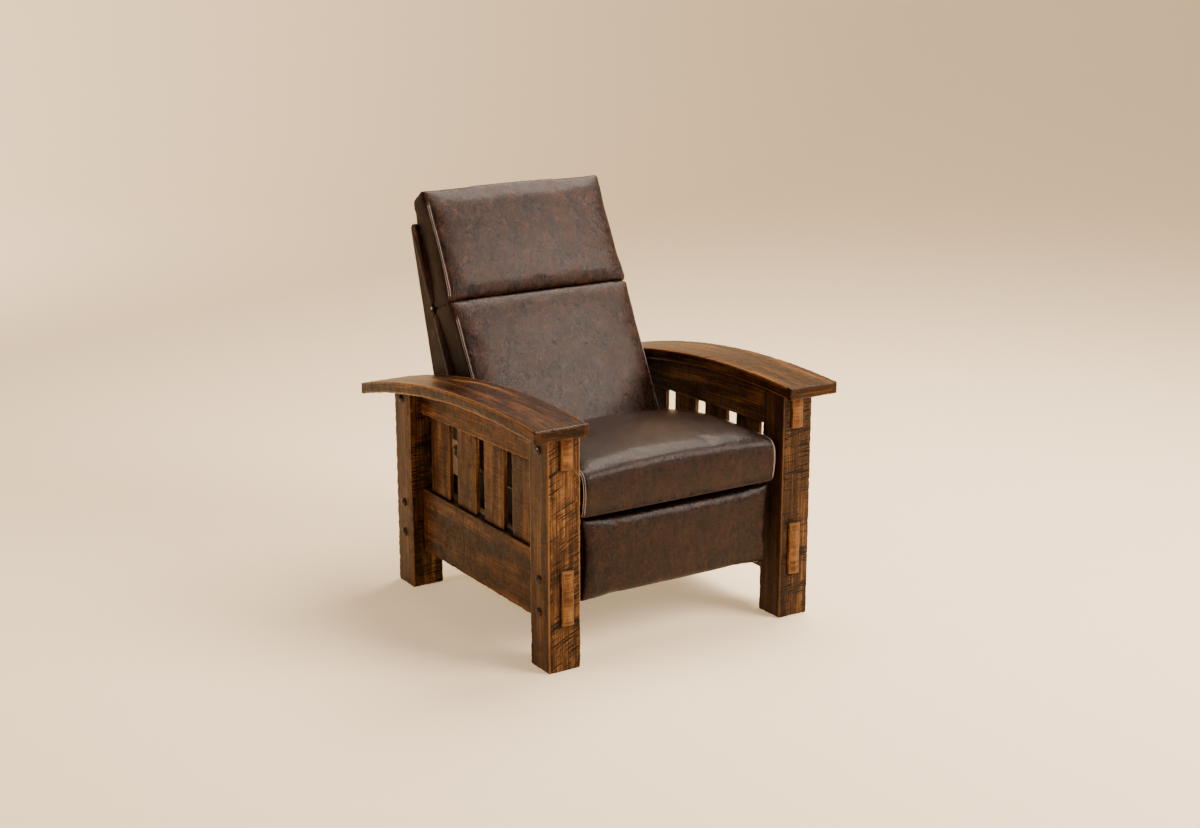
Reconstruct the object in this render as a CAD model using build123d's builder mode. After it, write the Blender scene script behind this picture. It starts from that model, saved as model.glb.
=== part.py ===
from build123d import *
import math
import os

os.makedirs("parts", exist_ok=True)

# Reclining chair: slatted side frames with bowed arms, a gliding seat, a
# reclining back and a footrest on parallel links. Front is -Y, up is +Z.
# Outlines are drawn in side view, with Y measured from the middle of the posts.

# Where the middle of the posts stands, so that the origin is under the chair's middle
posts_middle_y = -34.6

# Side frames
post_width = 89.0
post_depth = 86.0
post_inner_x = 297.0
post_spread_y = 786.0
post_ease = 2.5
post_outer_x = post_inner_x + post_width
post_front_y = -post_spread_y / 2
post_rear_y = post_spread_y / 2
bay_front_y = post_front_y + post_depth
bay_rear_y = post_rear_y - post_depth
joint_fit = 0.1

# Bowed arms
arm_inner_overhang = 6.0
arm_inner_x = post_inner_x - arm_inner_overhang
arm_width = 147.5
arm_thickness = 31.0
arm_radius = 2640.0
arm_peak_y = -200.0
arm_peak_z = 623.0
arm_front_overhang = 33.0
arm_rear_overhang = 92.0
arm_end_round = 5.0
arm_front_y = post_front_y - arm_front_overhang
arm_rear_y = post_rear_y + arm_rear_overhang

# Side rails, slats and pegs
rail_setback = 23.0
rail_inner_x = post_inner_x + rail_setback
rail_thickness = 33.0
lower_rail_bottom = 101.0
lower_rail_height = 171.0
tenon_shoulder_bottom = 16.0
tenon_shoulder_top = 19.0
tenon_proud = 7.0
tenon_ridge = 5.0
upper_rail_rear_z = 477.0
upper_rail_front_z = 490.0
upper_tenon_bottom = 502.0
slat_count = 4
slat_width = 98.0
slat_pitch = 140.0
slat_offset_y = 12.0
slat_thickness = 12.0
slat_tenon = 12.0
rail_middle_x = rail_inner_x + rail_thickness / 2
rail_outer_x = rail_inner_x + rail_thickness
lower_rail_top = lower_rail_bottom + lower_rail_height
peg_shank_radius = 6.0
peg_depth = 52.0
peg_head_width = 18.0
peg_head_height = 8.0
peg_collar_share = 0.35
peg_taper_degrees = 40.0
peg_top_front_z = 546.0
peg_top_rear_z = 512.0
peg_middle_z = 228.0
peg_low_z = 146.0

# Cross members
stretcher_thickness = 25.0
stretcher_height = 110.0
stretcher_bottom = 130.0
stretcher_tenon = 15.0
centre_stretcher_y = 112.0
centre_stretcher_height = 90.0
centre_stretcher_bottom = 105.0
cleat_thickness = 24.0
cleat_height = 56.0
cleat_bottom = 212.0

# Track, glides and side plates
seat_slope = 3.0
track_z = 240.0
track_depth = 16.0
track_height = 30.0
track_wall = 2.5
track_front_y = -245.0
track_length = 440.0
track_bolt_radius = 3.0
track_bolt_head = 6.0
track_bolt_head_height = 2.5
track_bolt_depth = 18.0
track_bolt_count = 3
track_bolt_margin = 10.0
glide_length = 40.0
glide_clearance = 0.3
glide_y = 150.0
stud_radius = 5.0
stud_collar = 3.0
plate_clearance = 6.0
plate_thickness = 4.0
plate_bottom = 224.0
plate_end_margin = 26.0
plate_notch_half_length = 96.0
plate_notch_height = 44.0
plate_ear_radius = 17.0
track_outer_x = rail_inner_x - cleat_thickness
plate_outer_x = track_outer_x - track_depth - plate_clearance
plate_inner_x = plate_outer_x - plate_thickness

# Seat box
seat_front_y = -385.0
seat_deck_front_z = 368.0
seat_box_front_y = -318.0
seat_box_rear_y = 50.0
box_rail_thickness = 22.0
box_rail_height = 38.0
spring_count = 4
spring_loops = 6
spring_wire_radius = 1.8
spring_width = 50.0
spring_spacing = 110.0
wire_seat = 0.05
box_top_margin = 2.0
deck_drop = 2 * spring_wire_radius + wire_seat

# Seat cushion
cushion_side_clearance = 13.0
cushion_half_width = post_inner_x - cushion_side_clearance
cushion_nose_in = 9.0
cushion_nose_z = 420.0
cushion_nose_back = 20.0
cushion_shoulder_z = 474.0
cushion_middle_z = 482.0
cushion_rear_z = 436.0
cushion_crown = 15.0
cushion_side_draw = 6.0
cushion_nose_round = 26.0
cushion_edge_round = 13.0
soft_gap = 0.4
drawn_overrun_share = 0.15

# Back, drawn with its cushions' front line and its frame's rear line
back_side_clearance = 22.0
back_half_width = post_inner_x - back_side_clearance
bracket_space = 6.0
back_rake = 27.8
back_front_y = 140.7
back_front_z = 500.0
cushion_run = 110.0
rear_tilt = 16.6
back_top_depth = 125.3
back_top_z = 944.0
back_bottom_z = 300.0
outer_back_bottom_z = 400.0
outer_skin = 5.0
outer_corner_round = 14.0
outer_side_round = 4.0
seam_slot_drop = 209.0
seam_slot_z = back_top_z - seam_slot_drop
seam_top_setback = 35.0
side_board_thickness = 24.0
side_board_outer_x = plate_inner_x - bracket_space
side_board_inner_x = side_board_outer_x - side_board_thickness
back_rail_height = 58.0
back_rail_thickness = 24.0
middle_rail_drop = 55.0
middle_rail_top_z = seam_slot_z - middle_rail_drop
webbing_width = 50.0
webbing_thickness = 1.6
webbing_low_z = 430.0
webbing_pitch = 95.0
webbing_count = int((back_top_z - webbing_low_z) / webbing_pitch)
lumbar_bottom_z = 352.0
channel_climb = 32.0
lumbar_top_z = seam_slot_z + channel_climb
lumbar_crown = 13.0
lumbar_bow = 8.0
board_setback = 3.0
channel_width = 7.0
head_rise = 100.0
head_rear_rise = 66.0
head_rear_setback = 22.0
head_notch_setback = 27.0
head_top_z = back_top_z + head_rise
head_crown = 12.0
head_bow = 6.0
head_front_drop = 10.0
back_side_draw = 6.0
back_edge_round = 11.0
nail_radius = 4.0
nail_height = 2.0
nail_taper_degrees = 35.0

# Recline pivot
recline_y = 200.0
recline_z = 330.0
bracket_thickness = 4.0
bracket_width = 30.0
bracket_run = 78.0
bracket_rise = 40.0
bracket_bolt_radius = 4.0
bracket_bolt_head = 8.0
bracket_bolt_depth = 14.0
bracket_bolt_head_height = 4.0
bracket_bolt_shares = (0.55, 1.0)
collar_play = 0.3
recline_pin_depth = 18.0
recline_pin_radius = 6.0
pin_head_height = 1.8
pin_head_rim = 4.0
pin_collar_rim = 2.0
running_clearance = 0.05

# Footrest linkage: front and rear links swing alike, so the main link moves
# without turning; the control link turns the footrest as much as the front link
link_thickness = 4.0
link_gap = 2.0
link_width = 20.0
control_width = 18.0
link_length = 225.0
link_lean = 25.0
front_pivot_y = -110.0
front_pivot_z = 290.0
rear_pivot_run = 65.0
rear_pivot_rise = 0.0
control_setback = 36.0
footrest_pivot_y = -286.0
footrest_pivot_z = 272.0
link_pin_radius = 5.0
torque_tube_radius = 10.0
torque_tube_wall = 2.0
torque_tube_share = 1 / 3

# Footrest
footrest_side_clearance = 18.0
footrest_half_width = post_inner_x - footrest_side_clearance
footrest_bottom_z = 150.0
footrest_top_z = 356.0
board_thickness = 12.0
board_rear_y = -326.0
board_inset = 17.0
board_edge = 6.0
pad_rim_y = -328.0
pad_edge_y = -363.0
pad_bow = 4.0
pad_crown = 7.0
pad_side_draw = 5.0
pad_edge_round = 9.0
foot_flange_width = 26.0
foot_flange_thickness = 3.0
foot_bracket_drop = 92.0
foot_bolt_radius = 3.0
foot_bolt_head = 6.0
foot_bolt_shares = (0.15, 0.85)

cut_over = 20.0
slope_rise = math.tan(math.radians(seat_slope))
rake_run = math.tan(math.radians(back_rake))
rear_run = math.tan(math.radians(rear_tilt))
back_top_y = back_front_y + (back_top_z - back_front_z) * rake_run + back_top_depth
seam_top_y = back_top_y - seam_top_setback
sides = {"left": -1, "right": 1}


def side_plane(x):
    """The side view at a distance x from the middle: local X is +Y, local Y is +Z."""
    return Plane(origin=(x, posts_middle_y, 0), x_dir=(0, 1, 0), z_dir=(1, 0, 0))


def plan_plane(z):
    return Plane(origin=(0, posts_middle_y, z), x_dir=(1, 0, 0), z_dir=(0, 0, 1))


def front_plane(y):
    """A plane across the chair, seen from the front: local X is +X, local Y is +Z."""
    return Plane(origin=(0, posts_middle_y + y, 0), x_dir=(1, 0, 0), z_dir=(0, -1, 0))


def arm_z(y, depth=0):
    """Height of the arm's top arc at y, or of the arc a depth below it."""
    radius = arm_radius - depth
    return arm_peak_z - arm_radius + math.sqrt(radius**2 - (y - arm_peak_y)**2)


def deck_z(y):
    return seat_deck_front_z - (y - seat_front_y) * slope_rise


def front_line_y(z):
    return back_front_y + (z - back_front_z) * rake_run


def rear_line_y(z, depth=0):
    """The back's rear line at z, or a line a depth in front of it."""
    return back_top_y + (z - back_top_z) * rear_run - depth


def seat_rear_y(z):
    """The seat cushion's rear face, which lies along the lumbar cushion's crown."""
    return front_line_y(z) - (lumbar_crown + lumbar_bow) / math.cos(math.radians(back_rake)) - soft_gap


def cushion_rear_y(z):
    """The rear face of the back's cushions: parallel to their front up to the slot, steeper above."""
    if z <= seam_slot_z:
        return front_line_y(z) + cushion_run
    slot_y = front_line_y(seam_slot_z) + cushion_run
    return slot_y + (seam_top_y - slot_y) * (z - seam_slot_z) / (back_top_z - seam_slot_z)


def board_front_y(z):
    return cushion_rear_y(z) + board_setback


def layer_start(side, inner_x, thickness):
    """The lower X of a layer whose inner face is inner_x from the middle."""
    return inner_x if side > 0 else -inner_x - thickness


def glide_plane(y):
    """A plane across the tracks at y: local X is +X, local Z points forward along them."""
    z = track_z - y * slope_rise
    slope = math.radians(seat_slope)
    forward = (0, -math.cos(slope), math.sin(slope))
    return Plane(origin=(0, posts_middle_y + y, z), x_dir=(1, 0, 0), z_dir=forward)


def save(part, name):
    part.label = name
    export_step(part, f"parts/{name}.step")


# Posts: sawn square stock, cut to the arm's underside, mortised for both rails
def post_part(side, end):
    """One post; side is -1 or 1 for left or right, end is -1 or 1 for front or rear."""
    front_y = post_front_y if end < 0 else bay_rear_y
    rear_y = front_y + post_depth
    middle_y = front_y + post_depth / 2
    under = arm_thickness
    top_z = peg_top_front_z if end < 0 else peg_top_rear_z
    with BuildPart() as post:
        with BuildSketch(side_plane(layer_start(side, post_inner_x, post_width))):
            with BuildLine():
                Polyline(
                    (rear_y, arm_z(rear_y, under)),
                    (rear_y, 0),
                    (front_y, 0),
                    (front_y, arm_z(front_y, under)),
                )
                ThreePointArc(
                    (front_y, arm_z(front_y, under)),
                    (middle_y, arm_z(middle_y, under)),
                    (rear_y, arm_z(rear_y, under)),
                )
            make_face()
        extrude(amount=post_width)
        chamfer(post.edges().filter_by(Axis.Z), post_ease)
        # Through mortise of the lower rail, open mortise of the upper rail
        mortise_x = side * rail_middle_x
        mortise_width = rail_thickness + 2 * joint_fit
        low_z = lower_rail_bottom + tenon_shoulder_bottom - joint_fit
        low_height = lower_rail_height - tenon_shoulder_bottom - tenon_shoulder_top + 2 * joint_fit
        open_z = upper_tenon_bottom - joint_fit
        with BuildSketch(front_plane(front_y - cut_over)):
            with Locations((mortise_x, low_z)):
                Rectangle(mortise_width, low_height, align=(Align.CENTER, Align.MIN))
            with Locations((mortise_x, open_z)):
                Rectangle(mortise_width, arm_peak_z - open_z, align=(Align.CENTER, Align.MIN))
        extrude(amount=-post_depth - 2 * cut_over, mode=Mode.SUBTRACT)
        # Peg holes through the outer face
        with BuildSketch(side_plane(side * (post_outer_x + cut_over))):
            with Locations(*[(middle_y, z) for z in (top_z, peg_middle_z, peg_low_z)]):
                Circle(peg_shank_radius + running_clearance)
        extrude(amount=-side * (peg_depth + cut_over), mode=Mode.SUBTRACT)
        # Stub mortise of the rear stretcher
        if end > 0:
            with BuildSketch(front_plane(middle_y - stretcher_thickness / 2 - joint_fit)):
                with Locations((side * post_inner_x, stretcher_bottom - joint_fit)):
                    Rectangle(
                        2 * (stretcher_tenon + joint_fit),
                        stretcher_height + 2 * joint_fit,
                        align=(Align.CENTER, Align.MIN),
                    )
            extrude(amount=-stretcher_thickness - 2 * joint_fit, mode=Mode.SUBTRACT)
    return post.part


# Bowed arm: a plank bent to one arc, its ends and long edges eased
def arm_part(side):
    middle_y = (arm_front_y + arm_rear_y) / 2
    with BuildPart() as arm:
        with BuildSketch(side_plane(layer_start(side, arm_inner_x, arm_width))):
            with BuildLine():
                top = ThreePointArc(*[(y, arm_z(y)) for y in (arm_front_y, middle_y, arm_rear_y)])
                low = ThreePointArc(
                    *[(y, arm_z(y, arm_thickness)) for y in (arm_front_y, middle_y, arm_rear_y)]
                )
                Line(top @ 0, low @ 0)
                Line(top @ 1, low @ 1)
            make_face()
        extrude(amount=arm_width)
        fillet(arm.edges(), arm_end_round)
    return arm.part


# Side rails: tenons run through the posts and end in a low ridge
def rail_plan(side):
    """The rail seen from above: straight sides and a gabled end past each post."""
    inner = side * rail_inner_x
    outer = side * rail_outer_x
    middle = side * rail_middle_x
    proud_front = post_front_y - tenon_proud
    proud_rear = post_rear_y + tenon_proud
    Polyline(
        (inner, proud_front),
        (middle, proud_front - tenon_ridge),
        (outer, proud_front),
        (outer, proud_rear),
        (middle, proud_rear + tenon_ridge),
        (inner, proud_rear),
        close=True,
    )


def slat_places():
    """The middles of the slats along the side."""
    first = slat_offset_y - slat_pitch * (slat_count - 1) / 2
    return [first + slat_pitch * index for index in range(slat_count)]


def cut_peg_holes(side, heights):
    """Holes through both tenons; heights holds (end, z) pairs."""
    with BuildSketch(side_plane(side * (post_outer_x + cut_over))) as holes:
        places = [(end * (post_rear_y - post_depth / 2), z) for end, z in heights]
        with Locations(*places):
            Circle(peg_shank_radius + running_clearance)
    extrude(holes.sketch, amount=-side * (peg_depth + cut_over), mode=Mode.SUBTRACT)


def cut_slat_mortises(side, bottom_z, top_z):
    with BuildSketch(plan_plane(bottom_z)) as mortises:
        with Locations(*[(side * rail_middle_x, y) for y in slat_places()]):
            Rectangle(slat_thickness + 2 * joint_fit, slat_width + 2 * joint_fit)
    extrude(mortises.sketch, amount=top_z - bottom_z, mode=Mode.SUBTRACT)


def lower_rail_part(side):
    tenon_bottom = lower_rail_bottom + tenon_shoulder_bottom
    tenon_top = lower_rail_top - tenon_shoulder_top
    with BuildPart() as rail:
        with BuildSketch(plan_plane(tenon_bottom)):
            with BuildLine():
                rail_plan(side)
            make_face()
        extrude(amount=tenon_top - tenon_bottom)
        with BuildSketch(side_plane(layer_start(side, rail_inner_x, rail_thickness))):
            with Locations((bay_front_y, lower_rail_bottom)):
                Rectangle(bay_rear_y - bay_front_y, lower_rail_height, align=(Align.MIN, Align.MIN))
        extrude(amount=rail_thickness)
        cut_slat_mortises(side, lower_rail_top - slat_tenon - joint_fit, lower_rail_top + cut_over)
        cut_peg_holes(side, [(end, z) for end in (-1, 1) for z in (peg_middle_z, peg_low_z)])
    return rail.part


def upper_rail_bottom(y):
    share = (y - bay_front_y) / (bay_rear_y - bay_front_y)
    return upper_rail_front_z + (upper_rail_rear_z - upper_rail_front_z) * share


def upper_rail_part(side):
    tip = tenon_proud + tenon_ridge
    front_y = post_front_y - tip
    rear_y = post_rear_y + tip
    under = arm_thickness
    with BuildPart() as rail:
        with BuildSketch(plan_plane(upper_rail_rear_z)):
            with BuildLine():
                rail_plan(side)
            make_face()
        extrude(amount=arm_peak_z - upper_rail_rear_z)
        with BuildSketch(side_plane(layer_start(side, rail_inner_x, rail_thickness))):
            with BuildLine():
                Polyline(
                    (rear_y, arm_z(rear_y, under)),
                    (rear_y, upper_tenon_bottom),
                    (bay_rear_y, upper_tenon_bottom),
                    (bay_rear_y, upper_rail_rear_z),
                    (bay_front_y, upper_rail_front_z),
                    (bay_front_y, upper_tenon_bottom),
                    (front_y, upper_tenon_bottom),
                    (front_y, arm_z(front_y, under)),
                )
                ThreePointArc(*[(y, arm_z(y, under)) for y in (front_y, 0, rear_y)])
            make_face()
        extrude(amount=rail_thickness, mode=Mode.INTERSECT)
        mortise_top = upper_rail_front_z + slat_tenon + joint_fit
        cut_slat_mortises(side, upper_rail_rear_z - cut_over, mortise_top)
        cut_peg_holes(side, [(-1, peg_top_front_z), (1, peg_top_rear_z)])
    return rail.part


def slats_part(side):
    bottom_z = lower_rail_top - slat_tenon
    with BuildPart() as slats:
        with BuildSketch(plan_plane(bottom_z)):
            with Locations(*[(side * rail_middle_x, y) for y in slat_places()]):
                Rectangle(slat_thickness, slat_width)
        extrude(amount=upper_rail_front_z + slat_tenon - bottom_z)
    return slats.part


# Pegs: a round shank under a faceted eight-sided dome
def pegs_part(side):
    middle_y = post_rear_y - post_depth / 2
    rows = {-1: (peg_top_front_z, peg_middle_z, peg_low_z), 1: (peg_top_rear_z, peg_middle_z, peg_low_z)}
    places = [(end * middle_y, z) for end, heights in rows.items() for z in heights]
    collar = peg_head_height * peg_collar_share
    with BuildPart() as pegs:
        with BuildSketch(side_plane(side * post_outer_x)):
            with Locations(*places):
                Circle(peg_shank_radius)
        extrude(amount=-side * peg_depth)
        with BuildSketch(side_plane(side * post_outer_x)):
            with Locations(*places):
                RegularPolygon(peg_head_width / 2, 8, major_radius=False)
        extrude(amount=side * collar)
        with BuildSketch(side_plane(side * (post_outer_x + collar))):
            with Locations(*places):
                RegularPolygon(peg_head_width / 2, 8, major_radius=False)
        extrude(amount=side * (peg_head_height - collar), taper=peg_taper_degrees)
    return pegs.part


for side_name, side in sides.items():
    save(post_part(side, -1), f"front_post_{side_name}")
    save(post_part(side, 1), f"rear_post_{side_name}")
    save(arm_part(side), f"arm_{side_name}")
    save(lower_rail_part(side), f"lower_rail_{side_name}")
    save(upper_rail_part(side), f"upper_rail_{side_name}")
    save(slats_part(side), f"slats_{side_name}")
    save(pegs_part(side), f"pegs_{side_name}")

# Rear stretcher: between the rear posts, with a stub tenon in each
with BuildPart() as rear_stretcher:
    rear_middle_y = post_rear_y - post_depth / 2
    shoulder_to_end = post_inner_x + stretcher_tenon
    with BuildSketch(front_plane(rear_middle_y - stretcher_thickness / 2)):
        with Locations((0, stretcher_bottom)):
            Rectangle(2 * shoulder_to_end, stretcher_height, align=(Align.CENTER, Align.MIN))
    extrude(amount=-stretcher_thickness)
save(rear_stretcher.part, "rear_stretcher")

# Centre stretcher: butted and screwed between the lower rails
with BuildPart() as centre_stretcher:
    with BuildSketch(front_plane(centre_stretcher_y - stretcher_thickness / 2)):
        with Locations((0, centre_stretcher_bottom)):
            Rectangle(2 * rail_inner_x, centre_stretcher_height, align=(Align.CENTER, Align.MIN))
    extrude(amount=-stretcher_thickness)
save(centre_stretcher.part, "centre_stretcher")


# Cleats and tracks: a hardwood cleat inside each lower rail carries a steel channel
def bolt_places():
    """The bolts' places along a track, as distances from its rear end."""
    pitch = (track_length - 2 * track_bolt_margin) / (track_bolt_count - 1)
    return [track_bolt_margin + pitch * index for index in range(track_bolt_count)]


def bolt_point(distance):
    """A bolt's middle in side view."""
    y = track_front_y + track_length - distance * math.cos(math.radians(seat_slope))
    return (y, track_z - y * slope_rise)


def cleat_part(side):
    with BuildPart() as cleat:
        with BuildSketch(side_plane(layer_start(side, track_outer_x, cleat_thickness))):
            with Locations((bay_front_y, cleat_bottom)):
                Rectangle(bay_rear_y - bay_front_y, cleat_height, align=(Align.MIN, Align.MIN))
        extrude(amount=cleat_thickness)
        with BuildSketch(side_plane(side * track_outer_x)):
            with Locations(*[bolt_point(distance) for distance in bolt_places()]):
                Circle(track_bolt_radius + running_clearance)
        extrude(amount=side * track_bolt_depth, mode=Mode.SUBTRACT)
    return cleat.part


def track_part(side):
    inner_height = track_height - 2 * track_wall
    with BuildPart() as track:
        with BuildSketch(glide_plane(track_front_y + track_length)):
            with Locations((side * (track_outer_x - track_depth / 2), 0)):
                Rectangle(track_depth, track_height)
            with Locations((side * (track_outer_x - track_wall - track_depth / 2), 0)):
                Rectangle(track_depth, inner_height, mode=Mode.SUBTRACT)
        extrude(amount=track_length)
        with BuildSketch(side_plane(side * (track_outer_x + cut_over))):
            with Locations(*[bolt_point(distance) for distance in bolt_places()]):
                Circle(track_bolt_radius + running_clearance)
        extrude(amount=-side * (track_depth + cut_over), mode=Mode.SUBTRACT)
    return track.part


cleat_pair = [cleat_part(side) for side in sides.values()]
with BuildPart() as cleats:
    add(cleat_pair)
save(cleats.part, "cleats")
for side_name, side in sides.items():
    save(track_part(side), f"track_{side_name}")

with BuildPart() as track_bolts:
    for side in sides.values():
        web_x = side * (track_outer_x - track_wall)
        with BuildSketch(side_plane(web_x)):
            with Locations(*[bolt_point(distance) for distance in bolt_places()]):
                Circle(track_bolt_radius)
        extrude(amount=side * (track_bolt_depth - track_wall))
        with BuildSketch(side_plane(web_x)):
            with Locations(*[bolt_point(distance) for distance in bolt_places()]):
                Circle(track_bolt_head)
        extrude(amount=-side * track_bolt_head_height)
save(track_bolts.part, "track_bolts")


# Side plates: pressed steel, bolted outside the seat box, with every pivot of the seat
slope_angle = math.radians(seat_slope)
front_pivot = (front_pivot_y, front_pivot_z)
rear_pivot = (front_pivot_y + rear_pivot_run, front_pivot_z + rear_pivot_rise)
recline_pivot = (recline_y, recline_z)
glide_points = [(y, track_z - y * slope_rise) for y in (-glide_y, glide_y)]


def deck_points(drop):
    """The seat box's top line, a drop below the cushion, from front to rear."""
    return [(y, deck_z(y) - drop) for y in (seat_box_front_y, seat_box_rear_y)]


def plate_part(side):
    top_front, top_rear = deck_points(deck_drop + box_top_margin)
    foot_front = -glide_y - plate_end_margin
    foot_rear = glide_y + plate_end_margin
    notch = plate_notch_half_length
    notch_z = plate_bottom + plate_notch_height
    with BuildPart() as plate:
        with BuildSketch(side_plane(layer_start(side, plate_inner_x, plate_thickness))):
            with BuildLine():
                Polyline(
                    top_front,
                    top_rear,
                    (recline_y, recline_z + plate_ear_radius),
                    (recline_y, recline_z - plate_ear_radius),
                    (foot_rear, plate_bottom + plate_notch_height),
                    (foot_rear, plate_bottom),
                    (notch, plate_bottom),
                    (notch - plate_notch_height, notch_z),
                    (plate_notch_height - notch, notch_z),
                    (-notch, plate_bottom),
                    (foot_front, plate_bottom),
                    (foot_front, notch_z),
                    (top_front[0], top_front[1] - box_rail_height / 2),
                    close=True,
                )
            make_face()
            with Locations(recline_pivot):
                Circle(plate_ear_radius)
            with Locations(recline_pivot):
                Circle(recline_pin_radius + running_clearance, mode=Mode.SUBTRACT)
            with Locations(front_pivot, rear_pivot):
                Circle(link_pin_radius + running_clearance, mode=Mode.SUBTRACT)
            with Locations(*glide_points):
                Circle(stud_radius + running_clearance, mode=Mode.SUBTRACT)
        extrude(amount=plate_thickness)
    return plate.part


for side_name, side in sides.items():
    save(plate_part(side), f"seat_plate_{side_name}")

# Glide blocks: nylon, one at each end of each plate, running in the track
glide_outer_x = track_outer_x - track_wall - glide_clearance
glide_inner_x = track_outer_x - track_depth + glide_clearance
glide_height = track_height - 2 * track_wall - 2 * glide_clearance
with BuildPart() as glides:
    for y in (-glide_y, glide_y):
        start_y = y + glide_length / 2 * math.cos(slope_angle)
        with BuildSketch(glide_plane(start_y)):
            for side in sides.values():
                with Locations((side * (glide_outer_x + glide_inner_x) / 2, 0)):
                    Rectangle(glide_outer_x - glide_inner_x, glide_height)
        extrude(amount=glide_length)
    for side in sides.values():
        with BuildSketch(side_plane(side * (glide_outer_x + cut_over))):
            with Locations(*glide_points):
                Circle(stud_radius + running_clearance)
        extrude(amount=-side * (glide_outer_x - glide_inner_x + 2 * cut_over), mode=Mode.SUBTRACT)
save(glides.part, "glide_blocks")

# Glide studs: welded flush in the plates, with a collar against each block
with BuildPart() as studs:
    for side in sides.values():
        with BuildSketch(side_plane(side * plate_inner_x)):
            with Locations(*glide_points):
                Circle(stud_radius)
        extrude(amount=side * (glide_outer_x - plate_inner_x))
        with BuildSketch(side_plane(side * plate_outer_x)):
            with Locations(*glide_points):
                Circle(stud_radius + stud_collar)
        extrude(amount=side * (glide_inner_x - plate_outer_x))
save(studs.part, "glide_studs")


# Seat box: hardwood rails that follow the slope of the deck
def box_side_part(side):
    top = deck_points(deck_drop)
    inner_x = plate_inner_x - box_rail_thickness
    with BuildPart() as rail:
        with BuildSketch(side_plane(layer_start(side, inner_x, box_rail_thickness))):
            with BuildLine():
                Polyline(
                    *top,
                    (top[1][0], top[1][1] - box_rail_height),
                    (top[0][0], top[0][1] - box_rail_height),
                    close=True,
                )
            make_face()
        extrude(amount=box_rail_thickness)
    return rail.part


def box_cross_part(front_y):
    """A rail across the box whose front face is at front_y."""
    rear_y = front_y + box_rail_thickness
    half = plate_inner_x - box_rail_thickness
    with BuildPart() as rail:
        with BuildSketch(side_plane(-half)):
            with BuildLine():
                Polyline(
                    (front_y, deck_z(front_y) - deck_drop),
                    (rear_y, deck_z(rear_y) - deck_drop),
                    (rear_y, deck_z(rear_y) - deck_drop - box_rail_height),
                    (front_y, deck_z(front_y) - deck_drop - box_rail_height),
                    close=True,
                )
            make_face()
        extrude(amount=2 * half)
    return rail.part


box_side_pair = [box_side_part(side) for side in sides.values()]
with BuildPart() as box_sides:
    add(box_side_pair)
save(box_sides.part, "seat_box_sides")
save(box_cross_part(seat_box_front_y), "seat_box_front")
save(box_cross_part(seat_box_rear_y - box_rail_thickness), "seat_box_rear")

# Seat springs: sinuous wire from the front rail to the rear rail, in half turns
spring_front_y = seat_box_front_y + box_rail_thickness / 2
spring_rear_y = seat_box_rear_y - box_rail_thickness / 2
spring_length = (spring_rear_y - spring_front_y) / math.cos(slope_angle)
spring_xs = [spring_spacing * (index - (spring_count - 1) / 2) for index in range(spring_count)]
spring_z = deck_z(spring_front_y) - deck_drop + spring_wire_radius + wire_seat
spring_plane = Plane(
    origin=(0, posts_middle_y + spring_front_y, spring_z),
    x_dir=(1, 0, 0),
    z_dir=(0, math.sin(slope_angle), math.cos(slope_angle)),
)
turn_radius = spring_length / (4 * spring_loops)
with BuildPart() as springs:
    for x in spring_xs:
        with BuildLine(spring_plane) as wire:
            for index in range(2 * spring_loops):
                swing = 1 if index % 2 else -1
                start = 2 * turn_radius * index
                reach = spring_width / 2 - turn_radius
                Line((x, start), (x + swing * reach, start))
                ThreePointArc(
                    (x + swing * reach, start),
                    (x + swing * (reach + turn_radius), start + turn_radius),
                    (x + swing * reach, start + 2 * turn_radius),
                )
                Line((x + swing * reach, start + 2 * turn_radius), (x, start + 2 * turn_radius))
        with BuildSketch(Plane(origin=wire.line @ 0, z_dir=wire.line % 0)):
            RegularPolygon(spring_wire_radius, 6)
        sweep(path=wire.line)
save(springs.part, "seat_springs")


# Padded forms: a crowned outer face, trimmed in side view, with sides that pull in
def arc_centre(start, middle, end):
    """Centre of the circle through three points of the side view."""
    (ay, az), (by, bz), (cy, cz) = start, middle, end
    across = 2 * (ay * (bz - cz) + by * (cz - az) + cy * (az - bz))
    a, b, c = (ay**2 + az**2, by**2 + bz**2, cy**2 + cz**2)
    return ((a * (bz - cz) + b * (cz - az) + c * (az - bz)) / across,
            (a * (cy - by) + b * (ay - cy) + c * (by - ay)) / across)


def bowed(start, end, bow):
    """The middle of the chord from start to end, moved out by bow to the left of its way."""
    run, rise = (end[0] - start[0], end[1] - start[1])
    length = math.hypot(run, rise)
    return ((start[0] + end[0]) / 2 - rise / length * bow, (start[1] + end[1]) / 2 + run / length * bow)


def beyond(start, end):
    """The point as far past end as end is from start."""
    return (2 * end[0] - start[0], 2 * end[1] - start[1])


def crown_blank(start, middle, end, half_width, crown, depth):
    """A ring piece whose outer face follows the arc in side view and rises by crown across it."""
    centre = arc_centre(start, middle, end)
    radius = math.dist(middle, centre)
    turns = sorted(math.atan2(z - centre[1], y - centre[0]) for y, z in (start, end))
    spare = (turns[1] - turns[0]) / 4
    turn = turns[0] - spare
    outward = (math.cos(turn), math.sin(turn))
    origin = (0, posts_middle_y + centre[0] + radius * outward[0], centre[1] + radius * outward[1])
    section = Plane(origin=origin, x_dir=(1, 0, 0), z_dir=(0, -outward[1], outward[0]))
    with BuildPart() as blank:
        with BuildSketch(section):
            with BuildLine():
                Polyline(
                    (half_width, 0),
                    (half_width, -depth),
                    (-half_width, -depth),
                    (-half_width, 0),
                )
                ThreePointArc((-half_width, 0), (0, crown), (half_width, 0))
            make_face()
        axis = Axis((0, posts_middle_y + centre[0], centre[1]), (1, 0, 0))
        revolve(axis=axis, revolution_arc=math.degrees(turns[1] - turns[0] + 2 * spare))
    return blank.part


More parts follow.
